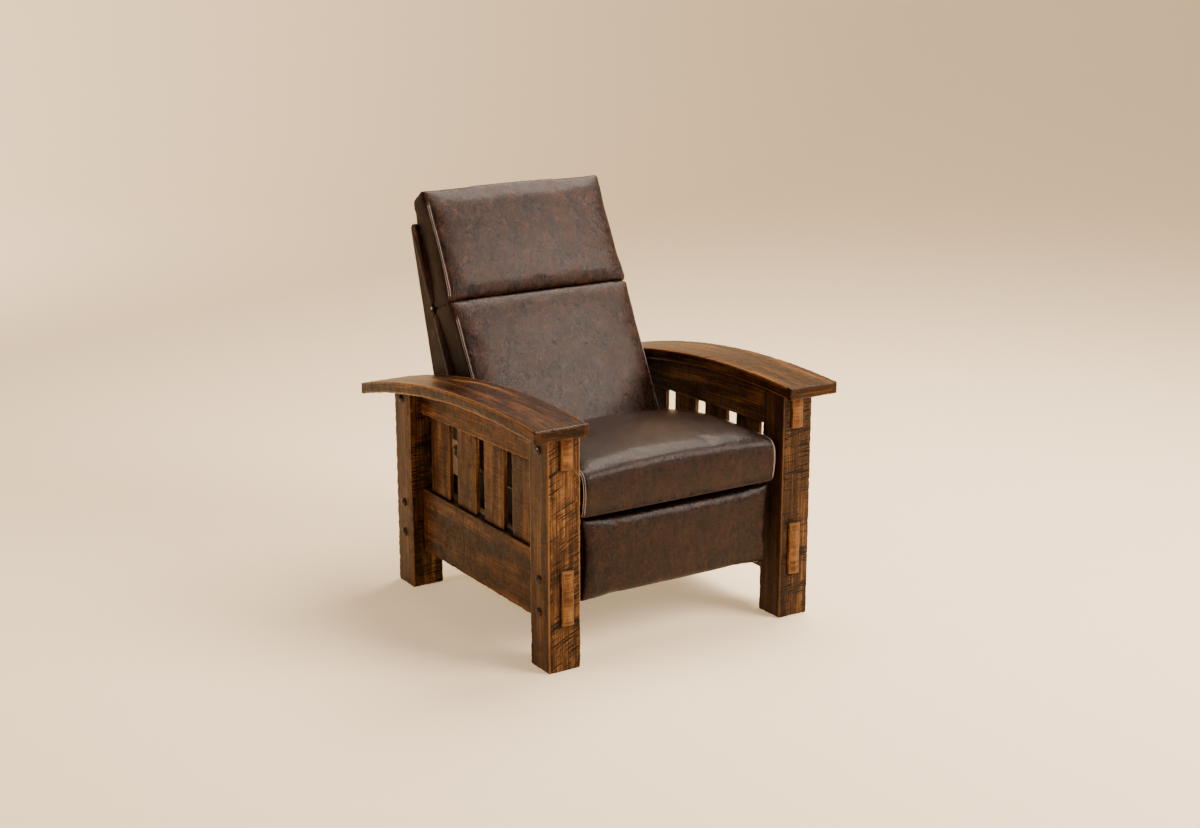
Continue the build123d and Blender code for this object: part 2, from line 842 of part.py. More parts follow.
def drawn_blank(start, end, half_width, side_draw, depth):
    """A block whose sides curve in between its corners, seen square to the line from start to end."""
    length = math.dist(start, end)
    along = ((end[0] - start[0]) / length, (end[1] - start[1]) / length)
    origin = (0, posts_middle_y + (start[0] + end[0]) / 2, (start[1] + end[1]) / 2)
    face = Plane(origin=origin, x_dir=(1, 0, 0), z_dir=(0, -along[1], along[0]))
    reach = length / 2 * (1 + drawn_overrun_share)
    with BuildPart() as blank:
        with BuildSketch(face):
            with BuildLine():
                Line((-half_width, -reach), (half_width, -reach))
                ThreePointArc((half_width, -reach), (half_width - side_draw, 0), (half_width, reach))
                Line((half_width, reach), (-half_width, reach))
                ThreePointArc((-half_width, reach), (side_draw - half_width, 0), (-half_width, -reach))
            make_face()
        extrude(amount=depth, both=True)
    return blank.part


# Seat cushion: rounded nose, crowned top, sloped rear along the back
seat_over_z = cushion_middle_z + 2 * cushion_crown
nose_low = (seat_front_y + cushion_nose_in, deck_z(seat_front_y) + soft_gap)
nose_high = (seat_front_y + cushion_nose_back, seat_over_z)
seat_top_front = (seat_front_y, cushion_shoulder_z)
seat_top_middle = (seat_front_y / 3, cushion_middle_z)
seat_top_rear = (seat_rear_y(cushion_rear_z), cushion_rear_z)
seat_low_rear_y = seat_rear_y(deck_z(seat_box_rear_y))
seat_crown = crown_blank(
    seat_top_front, seat_top_middle, seat_top_rear, cushion_half_width, cushion_crown, cushion_shoulder_z / 2
)
seat_plan = drawn_blank(
    (seat_front_y, 0), (seat_top_rear[0], 0), cushion_half_width, cushion_side_draw, 2 * cushion_shoulder_z
)
with BuildPart() as seat_cushion:
    with BuildSketch(side_plane(-cushion_half_width - cut_over)):
        with BuildLine():
            ThreePointArc(nose_low, (seat_front_y, cushion_nose_z), nose_high)
            Polyline(
                nose_high,
                (seat_rear_y(seat_over_z), seat_over_z),
                (seat_low_rear_y, deck_z(seat_low_rear_y) + soft_gap),
                nose_low,
            )
        make_face()
    extrude(amount=2 * (cushion_half_width + cut_over))
    add(seat_crown, mode=Mode.INTERSECT)
    add(seat_plan, mode=Mode.INTERSECT)
    fillet(seat_cushion.edges().sort_by(Axis.Z)[-1], cushion_nose_round)
    fillet(seat_cushion.edges(), cushion_edge_round)
save(seat_cushion.part, "seat_cushion")


# Back cushions: the lumbar cushion, and the head cushion that folds over the frame's top
rake = math.radians(back_rake)
lumbar_low = (front_line_y(lumbar_bottom_z), lumbar_bottom_z)
lumbar_high = (front_line_y(lumbar_top_z), lumbar_top_z)
lumbar_crown_blank = crown_blank(
    lumbar_low, bowed(lumbar_low, lumbar_high, lumbar_bow), lumbar_high,
    back_half_width, lumbar_crown, 2 * cushion_run,
)
lumbar_face_blank = drawn_blank(lumbar_low, lumbar_high, back_half_width, back_side_draw, 3 * cushion_run)
slot_y = cushion_rear_y(seam_slot_z)
channel_rise = channel_width / math.cos(rake)
lumbar_slot_z = seam_slot_z - channel_rise / 2
lumbar_slot = (cushion_rear_y(lumbar_slot_z), lumbar_slot_z)
with BuildPart() as lumbar_cushion:
    with BuildSketch(side_plane(-back_half_width - cut_over)):
        with BuildLine():
            Polyline(
                (lumbar_low[0] - cushion_run, lumbar_bottom_z),
                (cushion_rear_y(lumbar_bottom_z), lumbar_bottom_z),
                lumbar_slot,
                beyond(lumbar_slot, lumbar_high),
                close=True,
            )
        make_face()
    extrude(amount=2 * (back_half_width + cut_over))
    add(lumbar_crown_blank, mode=Mode.INTERSECT)
    add(lumbar_face_blank, mode=Mode.INTERSECT)
    fillet(lumbar_cushion.edges(), back_edge_round)
save(lumbar_cushion.part, "lumbar_cushion")

head_low_z = lumbar_top_z + channel_rise
head_low = (front_line_y(head_low_z), head_low_z)
head_high_z = head_top_z - head_front_drop
head_high = (front_line_y(head_high_z), head_high_z)
head_slot_z = seam_slot_z + channel_rise / 2
head_slot = (cushion_rear_y(head_slot_z), head_slot_z)
head_rear = (back_top_y - head_rear_setback, back_top_z + head_rear_rise)
head_crown_blank = crown_blank(
    head_low, bowed(head_low, head_high, head_bow), head_high, back_half_width, head_crown, 2 * cushion_run
)
head_face_blank = drawn_blank(head_low, head_high, back_half_width, back_side_draw, 3 * cushion_run)
with BuildPart() as head_cushion:
    with BuildSketch(side_plane(-back_half_width - cut_over)):
        with BuildLine():
            Polyline(
                beyond(head_slot, head_low),
                head_slot,
                (seam_top_y, back_top_z + soft_gap),
                (back_top_y - head_notch_setback, back_top_z + soft_gap),
                head_rear,
                beyond(head_rear, (front_line_y(head_top_z), head_top_z)),
                close=True,
            )
        make_face()
    extrude(amount=2 * (back_half_width + cut_over))
    add(head_crown_blank, mode=Mode.INTERSECT)
    add(head_face_blank, mode=Mode.INTERSECT)
    fillet(head_cushion.faces().sort_by(SortBy.AREA)[-1].edges(), back_edge_round)
    fillet(head_cushion.edges().filter_by(Axis.X).sort_by(Axis.Z)[-1], back_edge_round)
save(head_cushion.part, "head_cushion")


# Back frame: wedge-shaped side boards, cross rails along the rear line, webbing in front
frame_top_z = back_top_z - outer_skin - soft_gap
bracket_bolt_points = [
    (recline_y + bracket_run * share, recline_z + bracket_rise * share) for share in bracket_bolt_shares
]


def frame_rear_y(z):
    """The rear face of the back's wooden frame at z."""
    return rear_line_y(z, outer_skin + soft_gap)


def side_board_part(side):
    with BuildPart() as board:
        board_width = side_board_outer_x - side_board_inner_x
        with BuildSketch(side_plane(layer_start(side, side_board_inner_x, board_width))):
            with BuildLine():
                Polyline(
                    (board_front_y(back_bottom_z), back_bottom_z),
                    (board_front_y(seam_slot_z), seam_slot_z),
                    (board_front_y(frame_top_z), frame_top_z),
                    (frame_rear_y(frame_top_z), frame_top_z),
                    (frame_rear_y(back_bottom_z), back_bottom_z),
                    close=True,
                )
            make_face()
        extrude(amount=board_width)
        with BuildSketch(side_plane(side * (side_board_outer_x + cut_over))):
            with Locations(recline_pivot):
                Circle(recline_pin_radius + running_clearance)
        extrude(amount=-side * (recline_pin_depth + cut_over), mode=Mode.SUBTRACT)
        with BuildSketch(side_plane(side * (side_board_outer_x + cut_over))):
            with Locations(*bracket_bolt_points):
                Circle(bracket_bolt_radius + running_clearance)
        extrude(amount=-side * (bracket_bolt_depth + cut_over), mode=Mode.SUBTRACT)
    return board.part


def back_rail_part(top_z):
    """A cross rail between the side boards, along the rear line, with its top at top_z."""
    low_z = top_z - back_rail_height
    with BuildPart() as rail:
        with BuildSketch(side_plane(-side_board_inner_x)):
            with BuildLine():
                Polyline(
                    (frame_rear_y(top_z), top_z),
                    (frame_rear_y(top_z) - back_rail_thickness, top_z),
                    (frame_rear_y(low_z) - back_rail_thickness, low_z),
                    (frame_rear_y(low_z), low_z),
                    close=True,
                )
            make_face()
        extrude(amount=2 * side_board_inner_x)
    return rail.part


for side_name, side in sides.items():
    save(side_board_part(side), f"back_side_board_{side_name}")
save(back_rail_part(frame_top_z), "back_top_rail")
save(back_rail_part(middle_rail_top_z), "back_middle_rail")
save(back_rail_part(back_bottom_z + back_rail_height), "back_bottom_rail")

# Webbing: straps across the front edges of the side boards
with BuildPart() as webbing:
    for index in range(webbing_count):
        low_z = webbing_low_z + webbing_pitch * index
        top_z = low_z + webbing_width * math.cos(rake)
        with BuildSketch(side_plane(-side_board_outer_x)):
            with BuildLine():
                Polyline(
                    (board_front_y(low_z), low_z),
                    (board_front_y(top_z), top_z),
                    (board_front_y(top_z) - webbing_thickness, top_z),
                    (board_front_y(low_z) - webbing_thickness, low_z),
                    close=True,
                )
            make_face()
        extrude(amount=2 * side_board_outer_x)
save(webbing.part, "back_webbing")

# Outer back: a padded leather shell with a rear panel, a turned-over top and two wings
wing_inner_x = side_board_outer_x + soft_gap
with BuildPart() as outer_back:
    with BuildSketch(side_plane(-back_half_width)):
        with BuildLine():
            Polyline(
                (cushion_rear_y(outer_back_bottom_z) + soft_gap, outer_back_bottom_z),
                (slot_y + soft_gap, seam_slot_z),
                (seam_top_y + soft_gap, back_top_z),
                (rear_line_y(back_top_z), back_top_z),
                (rear_line_y(outer_back_bottom_z), outer_back_bottom_z),
                close=True,
            )
        make_face()
    extrude(amount=2 * back_half_width)
    fillet(outer_back.edges().filter_by(Axis.X).sort_by(Axis.Y)[-1], outer_corner_round)
    fillet(outer_back.faces().sort_by(Axis.Y)[-1].edges().filter_by(Axis.X, reverse=True), outer_side_round)
    inner_top_z = back_top_z - outer_skin
    inner_low_z = outer_back_bottom_z - cut_over
    with BuildSketch(side_plane(-wing_inner_x)):
        with BuildLine():
            Polyline(
                (cushion_rear_y(inner_low_z) - cut_over, inner_low_z),
                (cushion_rear_y(inner_top_z) - cushion_run, inner_top_z),
                (rear_line_y(inner_top_z, outer_skin), inner_top_z),
                (rear_line_y(inner_low_z, outer_skin), inner_low_z),
                close=True,
            )
        make_face()
    extrude(amount=2 * wing_inner_x, mode=Mode.SUBTRACT)
save(outer_back.part, "outer_back")

# Channel nails: a domed head at each end of the channel between the cushions
with BuildPart() as nails:
    for side in sides.values():
        with BuildSketch(side_plane(side * back_half_width)):
            with Locations((slot_y + 2 * nail_radius, seam_slot_z)):
                Circle(nail_radius)
        extrude(amount=side * nail_height, taper=nail_taper_degrees)
save(nails.part, "channel_nails")

# Flat links, pins and heads, in layers counted inwards from the side plates
link_lean_angle = math.radians(link_lean)
link_way = (math.sin(link_lean_angle), -math.cos(link_lean_angle))


def along_link(point, distance):
    """The point a distance further down the front link's line at rest."""
    return (point[0] + link_way[0] * distance, point[1] + link_way[1] * distance)


front_elbow = along_link(front_pivot, link_length)
rear_elbow = along_link(rear_pivot, link_length)
control_elbow = along_link(front_elbow, -control_setback)
footrest_pivot = (footrest_pivot_y, footrest_pivot_z)
footrest_tip = along_link(footrest_pivot, -control_setback)
tube_point = along_link(front_pivot, link_length * torque_tube_share)


def layer_x(index):
    """The inner face of a link layer; the first lies just inside the side plates."""
    return plate_inner_x - (index + 1) * (link_gap + link_thickness)


def link_part(side, layer, points, width, hole_points):
    """A flat bar with rounded ends that runs through the points."""
    with BuildPart() as link:
        with BuildSketch(side_plane(layer_start(side, layer_x(layer), link_thickness))):
            for start, end in zip(points, points[1:]):
                middle = ((start[0] + end[0]) / 2, (start[1] + end[1]) / 2)
                turn = math.degrees(math.atan2(end[1] - start[1], end[0] - start[0]))
                with Locations(middle):
                    SlotCenterToCenter(math.dist(start, end), width, rotation=turn)
            with Locations(*hole_points):
                Circle(link_pin_radius + running_clearance, mode=Mode.SUBTRACT)
        extrude(amount=link_thickness)
    return link.part


def pins_part(pins):
    """Headed pins on both sides; pins holds (points, inner X, outer X, collar ends or None)."""
    with BuildPart() as group:
        for points, inner_x, outer_x, collar in pins:
            for side in sides.values():
                with BuildSketch(side_plane(side * inner_x)):
                    with Locations(*points):
                        Circle(link_pin_radius)
                extrude(amount=side * (outer_x - inner_x))
                with BuildSketch(side_plane(side * inner_x)):
                    with Locations(*points):
                        Circle(link_pin_radius + pin_head_rim)
                extrude(amount=-side * pin_head_height)
                with BuildSketch(side_plane(side * outer_x)):
                    with Locations(*points):
                        Circle(link_pin_radius + pin_head_rim)
                extrude(amount=side * pin_head_height)
                if collar:
                    with BuildSketch(side_plane(side * collar[0])):
                        with Locations(*points):
                            Circle(link_pin_radius + pin_collar_rim)
                    extrude(amount=side * (collar[1] - collar[0]))
    return group.part


first_x, second_x, third_x = layer_x(0), layer_x(1), layer_x(2)
first_outer_x = first_x + link_thickness
control_collar = (third_x + link_thickness + collar_play, first_x - collar_play)

for side_name, side in sides.items():
    front_points = [front_pivot, front_elbow]
    front_holes = [front_pivot, control_elbow, front_elbow]
    save(link_part(side, 0, front_points, link_width, front_holes), f"front_link_{side_name}")
    rear_points = [rear_pivot, rear_elbow]
    save(link_part(side, 0, rear_points, link_width, rear_points), f"rear_link_{side_name}")
    main_points = [rear_elbow, front_elbow, footrest_pivot]
    save(link_part(side, 1, main_points, link_width, main_points), f"main_link_{side_name}")
    control_points = [control_elbow, footrest_tip]
    save(link_part(side, 2, control_points, control_width, control_points), f"control_link_{side_name}")

save(pins_part([([front_pivot, rear_pivot], first_x, plate_outer_x, None)]), "seat_pivot_pins")
front_link_pins = [
    ([front_elbow], second_x, first_outer_x, None),
    ([control_elbow], third_x, first_outer_x, control_collar),
]
save(pins_part(front_link_pins), "front_link_pins")
save(pins_part([([rear_elbow], second_x, first_outer_x, None)]), "rear_link_pins")
footrest_pins = [
    ([footrest_pivot], second_x, first_outer_x, None),
    ([footrest_tip], third_x, first_outer_x, control_collar),
]
save(pins_part(footrest_pins), "footrest_pins")

# Torque tube: ties the two front links so that both sides of the footrest move alike
with BuildPart() as torque_tube:
    with BuildSketch(side_plane(-first_x)):
        with Locations(tube_point):
            Circle(torque_tube_radius)
            Circle(torque_tube_radius - torque_tube_wall, mode=Mode.SUBTRACT)
    extrude(amount=2 * first_x)
save(torque_tube.part, "torque_tube")


# Recline brackets, bolts and pins
def bracket_part(side):
    with BuildPart() as bracket:
        with BuildSketch(side_plane(layer_start(side, side_board_outer_x, bracket_thickness))):
            turn = math.degrees(math.atan2(bracket_rise, bracket_run))
            with Locations((recline_y + bracket_run / 2, recline_z + bracket_rise / 2)):
                SlotCenterToCenter(math.hypot(bracket_run, bracket_rise), bracket_width, rotation=turn)
            with Locations(recline_pivot):
                Circle(recline_pin_radius + running_clearance, mode=Mode.SUBTRACT)
            with Locations(*bracket_bolt_points):
                Circle(bracket_bolt_radius + running_clearance, mode=Mode.SUBTRACT)
        extrude(amount=bracket_thickness)
    return bracket.part


recline_bracket_pair = [bracket_part(side) for side in sides.values()]
with BuildPart() as recline_brackets:
    add(recline_bracket_pair)
save(recline_brackets.part, "recline_brackets")

bracket_outer_x = side_board_outer_x + bracket_thickness
with BuildPart() as bracket_bolts:
    for side in sides.values():
        with BuildSketch(side_plane(side * bracket_outer_x)):
            with Locations(*bracket_bolt_points):
                Circle(bracket_bolt_radius)
        extrude(amount=-side * (bracket_thickness + bracket_bolt_depth))
        with BuildSketch(side_plane(side * bracket_outer_x)):
            with Locations(*bracket_bolt_points):
                RegularPolygon(bracket_bolt_head, 6)
        extrude(amount=side * bracket_bolt_head_height)
save(bracket_bolts.part, "bracket_bolts")

with BuildPart() as recline_pins:
    for side in sides.values():
        with BuildSketch(side_plane(side * plate_outer_x)):
            with Locations(recline_pivot):
                Circle(recline_pin_radius)
        extrude(amount=-side * (plate_outer_x - side_board_outer_x + recline_pin_depth))
        with BuildSketch(side_plane(side * plate_outer_x)):
            with Locations(recline_pivot):
                Circle(recline_pin_radius + pin_head_rim)
        extrude(amount=side * pin_head_height)
        with BuildSketch(side_plane(side * (bracket_outer_x + collar_play))):
            with Locations(recline_pivot):
                Circle(recline_pin_radius + pin_head_rim)
        extrude(amount=side * (plate_inner_x - bracket_outer_x - 2 * collar_play))
save(recline_pins.part, "recline_pins")

# Footrest board: plywood, screwed to a bracket at each side
board_half_width = footrest_half_width - board_inset
board_bottom_z = footrest_bottom_z + board_edge
board_top_z = footrest_top_z - board_edge
board_middle_z = (board_bottom_z + board_top_z) / 2
foot_bolt_x = first_outer_x - foot_flange_width + foot_bolt_head
foot_bolt_points = [
    (side * foot_bolt_x, footrest_pivot_z - foot_bracket_drop * share)
    for side in sides.values() for share in foot_bolt_shares
]
board_front_face_y = board_rear_y - board_thickness
with BuildPart() as footrest_board:
    with BuildSketch(front_plane(board_front_face_y)):
        with Locations((0, board_middle_z)):
            Rectangle(2 * board_half_width, board_top_z - board_bottom_z)
        with Locations(*foot_bolt_points):
            Circle(foot_bolt_radius + running_clearance, mode=Mode.SUBTRACT)
    extrude(amount=-board_thickness)
save(footrest_board.part, "footrest_board")


def foot_bracket_part(side):
    """An angle: the upright carries the two pivots, the flange lies on the board."""
    low_z = footrest_pivot_z - foot_bracket_drop
    top_z = footrest_tip[1] + link_width / 2
    with BuildPart() as bracket:
        with BuildSketch(side_plane(layer_start(side, first_x, link_thickness))):
            with BuildLine():
                Polyline(
                    (board_rear_y, low_z),
                    (board_rear_y, top_z),
                    (footrest_tip[0], top_z),
                    (footrest_tip[0] + link_width / 2, footrest_tip[1]),
                    (footrest_pivot[0] + link_width / 2, footrest_pivot[1]),
                    (footrest_pivot[0], footrest_pivot[1] - link_width / 2),
                    close=True,
                )
            make_face()
            with Locations(footrest_pivot, footrest_tip):
                Circle(link_width / 2)
            with Locations(footrest_pivot, footrest_tip):
                Circle(link_pin_radius + running_clearance, mode=Mode.SUBTRACT)
        extrude(amount=link_thickness)
        with BuildSketch(front_plane(board_rear_y)):
            with Locations((side * (first_outer_x - foot_flange_width / 2), (low_z + top_z) / 2)):
                Rectangle(foot_flange_width, top_z - low_z)
        extrude(amount=-foot_flange_thickness)
        with BuildSketch(front_plane(board_rear_y - cut_over)):
            with Locations(*foot_bolt_points):
                Circle(foot_bolt_radius + running_clearance)
        extrude(amount=-foot_flange_thickness - 2 * cut_over, mode=Mode.SUBTRACT)
    return bracket.part


foot_bracket_pair = [foot_bracket_part(side) for side in sides.values()]
with BuildPart() as foot_brackets:
    add(foot_bracket_pair)
save(foot_brackets.part, "footrest_brackets")

with BuildPart() as footrest_bolts:
    with BuildSketch(front_plane(board_front_face_y)):
        with Locations(*foot_bolt_points):
            Circle(foot_bolt_radius)
    extrude(amount=-board_thickness - foot_flange_thickness)
    with BuildSketch(front_plane(board_rear_y + foot_flange_thickness)):
        with Locations(*foot_bolt_points):
            Circle(foot_bolt_head)
    extrude(amount=-pin_head_height)
save(footrest_bolts.part, "footrest_bolts")

# Footrest pad: crowned, wrapped round the board's edges
pad_low = (pad_edge_y, footrest_bottom_z)
pad_high = (pad_edge_y, footrest_top_z)
pad_crown_blank = crown_blank(
    pad_low, bowed(pad_low, pad_high, pad_bow), pad_high, footrest_half_width, pad_crown, footrest_top_z
)
pad_face_blank = drawn_blank(pad_low, pad_high, footrest_half_width, pad_side_draw, footrest_top_z)
with BuildPart() as footrest_pad:
    with BuildSketch(side_plane(-footrest_half_width - cut_over)):
        with BuildLine():
            Polyline(
                (pad_edge_y - cut_over, footrest_bottom_z),
                (pad_edge_y - cut_over, footrest_top_z),
                (pad_rim_y, footrest_top_z),
                (pad_rim_y, footrest_bottom_z),
                close=True,
            )
        make_face()
    extrude(amount=2 * (footrest_half_width + cut_over))
    add(pad_crown_blank, mode=Mode.INTERSECT)
    add(pad_face_blank, mode=Mode.INTERSECT)
    fillet(footrest_pad.faces().sort_by(Axis.Y)[0].edges(), pad_edge_round)
    with BuildSketch(front_plane(board_front_face_y - soft_gap)):
        with Locations((0, board_middle_z)):
            Rectangle(2 * (board_half_width + soft_gap), board_top_z - board_bottom_z + 2 * soft_gap)
    extrude(amount=-board_thickness - cut_over, mode=Mode.SUBTRACT)
save(footrest_pad.part, "footrest_pad")
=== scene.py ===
"""A reclining armchair with sawn timber sides and mottled leather cushions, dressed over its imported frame.

Lengths are in metres. Each section below makes one piece, or a group of like pieces, in the order in which
the chair is put together. Timbers are rectangles with eased corners carried along a line; cushions are the
frame's solids, remeshed and blown up as cloth; seams are narrow sections carried along a line on the leather.
"""
import itertools
import math

import bmesh
import bpy
import numpy as np
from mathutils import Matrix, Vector
from mathutils.bvhtree import BVHTree


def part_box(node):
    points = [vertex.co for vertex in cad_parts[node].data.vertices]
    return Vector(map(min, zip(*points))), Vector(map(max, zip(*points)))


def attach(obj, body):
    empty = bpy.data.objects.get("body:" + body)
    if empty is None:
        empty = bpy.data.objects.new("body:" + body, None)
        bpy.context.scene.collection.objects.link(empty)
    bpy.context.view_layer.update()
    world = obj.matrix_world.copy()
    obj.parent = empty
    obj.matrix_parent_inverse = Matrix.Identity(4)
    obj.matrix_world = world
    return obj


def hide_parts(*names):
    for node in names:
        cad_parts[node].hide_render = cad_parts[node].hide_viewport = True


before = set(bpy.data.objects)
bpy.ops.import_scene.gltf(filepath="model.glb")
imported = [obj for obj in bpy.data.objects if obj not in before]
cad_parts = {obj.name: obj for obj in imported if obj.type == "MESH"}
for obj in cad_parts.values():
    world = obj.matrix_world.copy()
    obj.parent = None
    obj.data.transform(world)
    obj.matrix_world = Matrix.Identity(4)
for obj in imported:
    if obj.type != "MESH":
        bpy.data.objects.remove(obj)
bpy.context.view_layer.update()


# Camera: solved from the photograph's posts, looking from the chair's front left and a little above.
# The long side of the picture is the sensor's width, in millimetres.
def scene_object(name, data):
    """A new object in the scene, at the origin and unturned."""
    made = bpy.data.objects.new(name, data)
    bpy.context.scene.collection.objects.link(made)
    return made


view_turn = math.radians(-32.394)
view_tilt = math.radians(74.635)
camera_data = bpy.data.cameras.new("camera")
camera_data.lens = 58.378
camera_data.sensor_width = 36.0
camera = scene_object("camera", camera_data)
camera.location = (-2.5822, -4.1142, 1.8215)
camera.rotation_euler = (view_tilt, 0, view_turn)
bpy.context.scene.camera = camera


# Floor and backdrop: one sheet of pale paper that curves up behind the chair and faces the camera.
# It isn't part of the chair.
def opaque(colour):
    """A plain colour gets full alpha; an output of a node stays as it is."""
    return (*colour, 1.0) if isinstance(colour, tuple) else colour


class Finish:
    """A material in the making: a shader, the colour so far, and short calls that add nodes."""

    def __init__(self, name, colour=None):
        self.material = bpy.data.materials.new(name)
        self.material.use_nodes = True
        self.tree = self.material.node_tree
        self.shader = self.tree.nodes["Principled BSDF"]
        self.colour = colour

    def feed(self, socket, value):
        """Links an output to the socket, or sets the socket to a plain value."""
        if isinstance(value, bpy.types.NodeSocket):
            self.tree.links.new(value, socket)
        else:
            socket.default_value = value

    def node(self, kind, inputs, output=0, **settings):
        """Makes a node with these settings, feeds its inputs and gives one of its outputs."""
        made = self.tree.nodes.new("ShaderNode" + kind)
        for name, value in settings.items():
            setattr(made, name, value)
        for key, value in inputs.items():
            self.feed(made.inputs[key], value)
        return made.outputs[output]

    def coordinates(self, kind="Object"):
        return self.node("TexCoord", {}, kind)

    def attribute(self, name):
        return self.node("Attribute", {}, "Fac", attribute_name=name)

    def placed(self, coordinates, scale=(1, 1, 1), shift=(0, 0, 0), turn=(0, 0, 0)):
        """Coordinates that are scaled, then turned, then shifted."""
        return self.node("Mapping", {"Vector": coordinates, "Scale": scale, "Rotation": turn,
                                     "Location": shift})

    def noise(self, coordinates, scale, detail=4.0, rough=0.5, distortion=0.0, shift=(0, 0, 0)):
        """Noise with so many waves to the metre. A scale for each axis draws it out along the lowest."""
        if isinstance(scale, tuple):
            coordinates, scale = self.placed(coordinates, scale, shift), 1.0
        return self.node("TexNoise", {"Vector": coordinates, "Scale": scale, "Detail": detail,
                                      "Roughness": rough, "Distortion": distortion}, "Fac")

    def cells(self, coordinates, scale, feature="DISTANCE_TO_EDGE"):
        return self.node("TexVoronoi", {"Vector": coordinates, "Scale": scale}, "Distance", feature=feature)

    def bands(self, coordinates, direction, pitch, distortion=0.0):
        """A sine wave along one axis that repeats after the pitch: Blender's turns by 20 times its scale."""
        scale = 2 * math.pi / (20 * pitch)
        return self.node("TexWave", {"Vector": coordinates, "Scale": scale, "Distortion": distortion}, "Fac",
                         wave_type="BANDS", bands_direction=direction)

    def math(self, operation, first, second=0.0):
        return self.node("Math", {0: first, 1: second}, operation=operation)

    def times(self, first, second):
        return self.math("MULTIPLY", first, second)

    def plus(self, first, second):
        return self.math("ADD", first, second)

    def span(self, value, low, high, to_low=0.0, to_high=1.0):
        """The value carried from the range low to high onto the range to_low to to_high, held at its ends."""
        return self.node("MapRange", {"Value": value, "From Min": low, "From Max": high, "To Min": to_low,
                                      "To Max": to_high}, interpolation_type="SMOOTHSTEP")

    def ramp(self, value, *stops):
        """The colour so far becomes a ramp over the value with (position, colour) stops."""
        self.colour = self.node("ValToRGB", {0: value})
        elements = self.colour.node.color_ramp.elements
        while len(elements) < len(stops):
            elements.new(0.5)
        for element, (position, colour) in zip(elements, stops):
            element.position = position
            element.color = opaque(colour)

    def cover(self, colour, share, most=None):
        """Lays another colour over the colour so far, by a share of 0 to 1 that may be scaled by its most."""
        share = share if most is None else self.times(share, most)
        self.colour = self.node("Mix", {"Factor": share, 6: opaque(self.colour), 7: opaque(colour)}, 2,
                                data_type="RGBA")

    def relief(self, height, depth, strength=1.0, **under):
        """A bump of the given depth in metres. Normal may name an earlier bump under it."""
        return self.node("Bump", {"Height": height, "Distance": depth, "Strength": strength, **under})

    def done(self, roughness, normal=None, **sockets):
        """Feeds the shader and gives the material. A socket's name has underscores for its spaces."""
        sockets.update({"Base_Color": opaque(self.colour), "Roughness": roughness})
        if normal is not None:
            sockets["Normal"] = normal
        for name, value in sockets.items():
            self.feed(self.shader.inputs[name.replace("_", " ")], value)
        return self.material


def sweep_sheet(front_y, rear_y, radius, height, half_width, bends=24):
    """A floor line, a quarter circle of the given radius and an upright line, carried across the width."""
    turn = np.linspace(0, math.pi / 2, bends)
    along = np.concatenate([[front_y], rear_y + radius * np.sin(turn), [rear_y + radius]])
    up = np.concatenate([[0.0], radius * (1 - np.cos(turn)), [height]])
    points = [(x, y, z) for y, z in zip(along, up) for x in (-half_width, half_width)]
    faces = [(2 * i, 2 * i + 1, 2 * i + 3, 2 * i + 2) for i in range(len(along) - 1)]
    mesh = bpy.data.meshes.new("backdrop")
    mesh.from_pydata(points, [], faces)
    mesh.shade_smooth()
    return scene_object("backdrop", mesh)


backdrop = sweep_sheet(front_y=-25.0, rear_y=6.5, radius=4.0, height=9.0, half_width=14.0)
backdrop.rotation_euler = (0, 0, view_turn)
paper = Finish("backdrop_paper", (0.96, 0.73, 0.47))
backdrop.data.materials.append(paper.done(0.9, Specular_IOR_Level=0.1, Emission_Color=(1.0, 0.72, 0.41, 1),
                                          Emission_Strength=0.52))


# Studio light: a large soft box above, one at the front right, a small one at the left and one on the
# backdrop, with a dim warm glow all round.
def soft_light(name, place, target, size, power, colour):
    """A square soft box that faces its target."""
    data = bpy.data.lights.new(name, "AREA")
    data.shape = "SQUARE"
    data.size = size
    data.energy = power
    data.color = colour
    light = scene_object(name, data)
    light.location = place
    light.rotation_euler = (Vector(target) - Vector(place)).to_track_quat("-Z", "Y").to_euler()


soft_light("top_light", (1.4, 0.5, 3.6), (0.1, 0, 0.3), 2.2, 260, (1.0, 0.94, 0.85))
soft_light("front_light", (2.4, -3.2, 2.9), (0, -0.1, 0.6), 2.2, 370, (1.0, 0.96, 0.9))
soft_light("left_light", (-3.1, 0.5, 2.1), (0, 0, 0.6), 0.8, 30, (1.0, 0.94, 0.86))
soft_light("backdrop_light", (-2.2, 4.5, 4.4), (-4.0, 9.5, 2.6), 3.0, 820, (1.0, 0.95, 0.9))
world = bpy.data.worlds.new("studio")
world.use_nodes = True
glow = world.node_tree.nodes["Background"].inputs
glow["Color"].default_value = (1.0, 0.86, 0.72, 1)
glow["Strength"].default_value = 0.14
bpy.context.scene.world = world


# Posts: rough-sawn square timber, stained brown and lacquered. The saw left ridges that hold dark stain,
# the corners are eased by hand. Rail tenons pass through them and pegs lock the tenons.
def soft_noise(points, cell, seed):
    """Smooth noise from -1 to 1: a random number at each corner of a cubic lattice, scattered by large primes
    and blended between corners with the smoothstep curve."""
    place = points / cell
    base = np.floor(place).astype(np.int64)
    part = place - base
    part = part * part * (3 - 2 * part)
    total = np.zeros(len(points))
    for corner in itertools.product((0, 1), repeat=3):
        mix = ((base + corner) * (73856093, 19349663, 83492791)).sum(1) + seed * 26544357
        mix = ((mix ^ (mix >> 13)) * 1274126177) & 0x7FFFFFFF
        mix = ((mix ^ (mix >> 15)) * 668265263) & 0x7FFFFFFF
        weight = np.prod(np.where(corner, part, 1 - part), axis=1)
        total += weight * (mix / 0x3FFFFFFF - 1)
    return total


def layered_noise(points, coarse, fine, share, seed):
    """Soft noise of a coarse cell, plus a share of the noise of a finer one."""
    return soft_noise(points, coarse, seed) + share * soft_noise(points, fine, seed + 1)


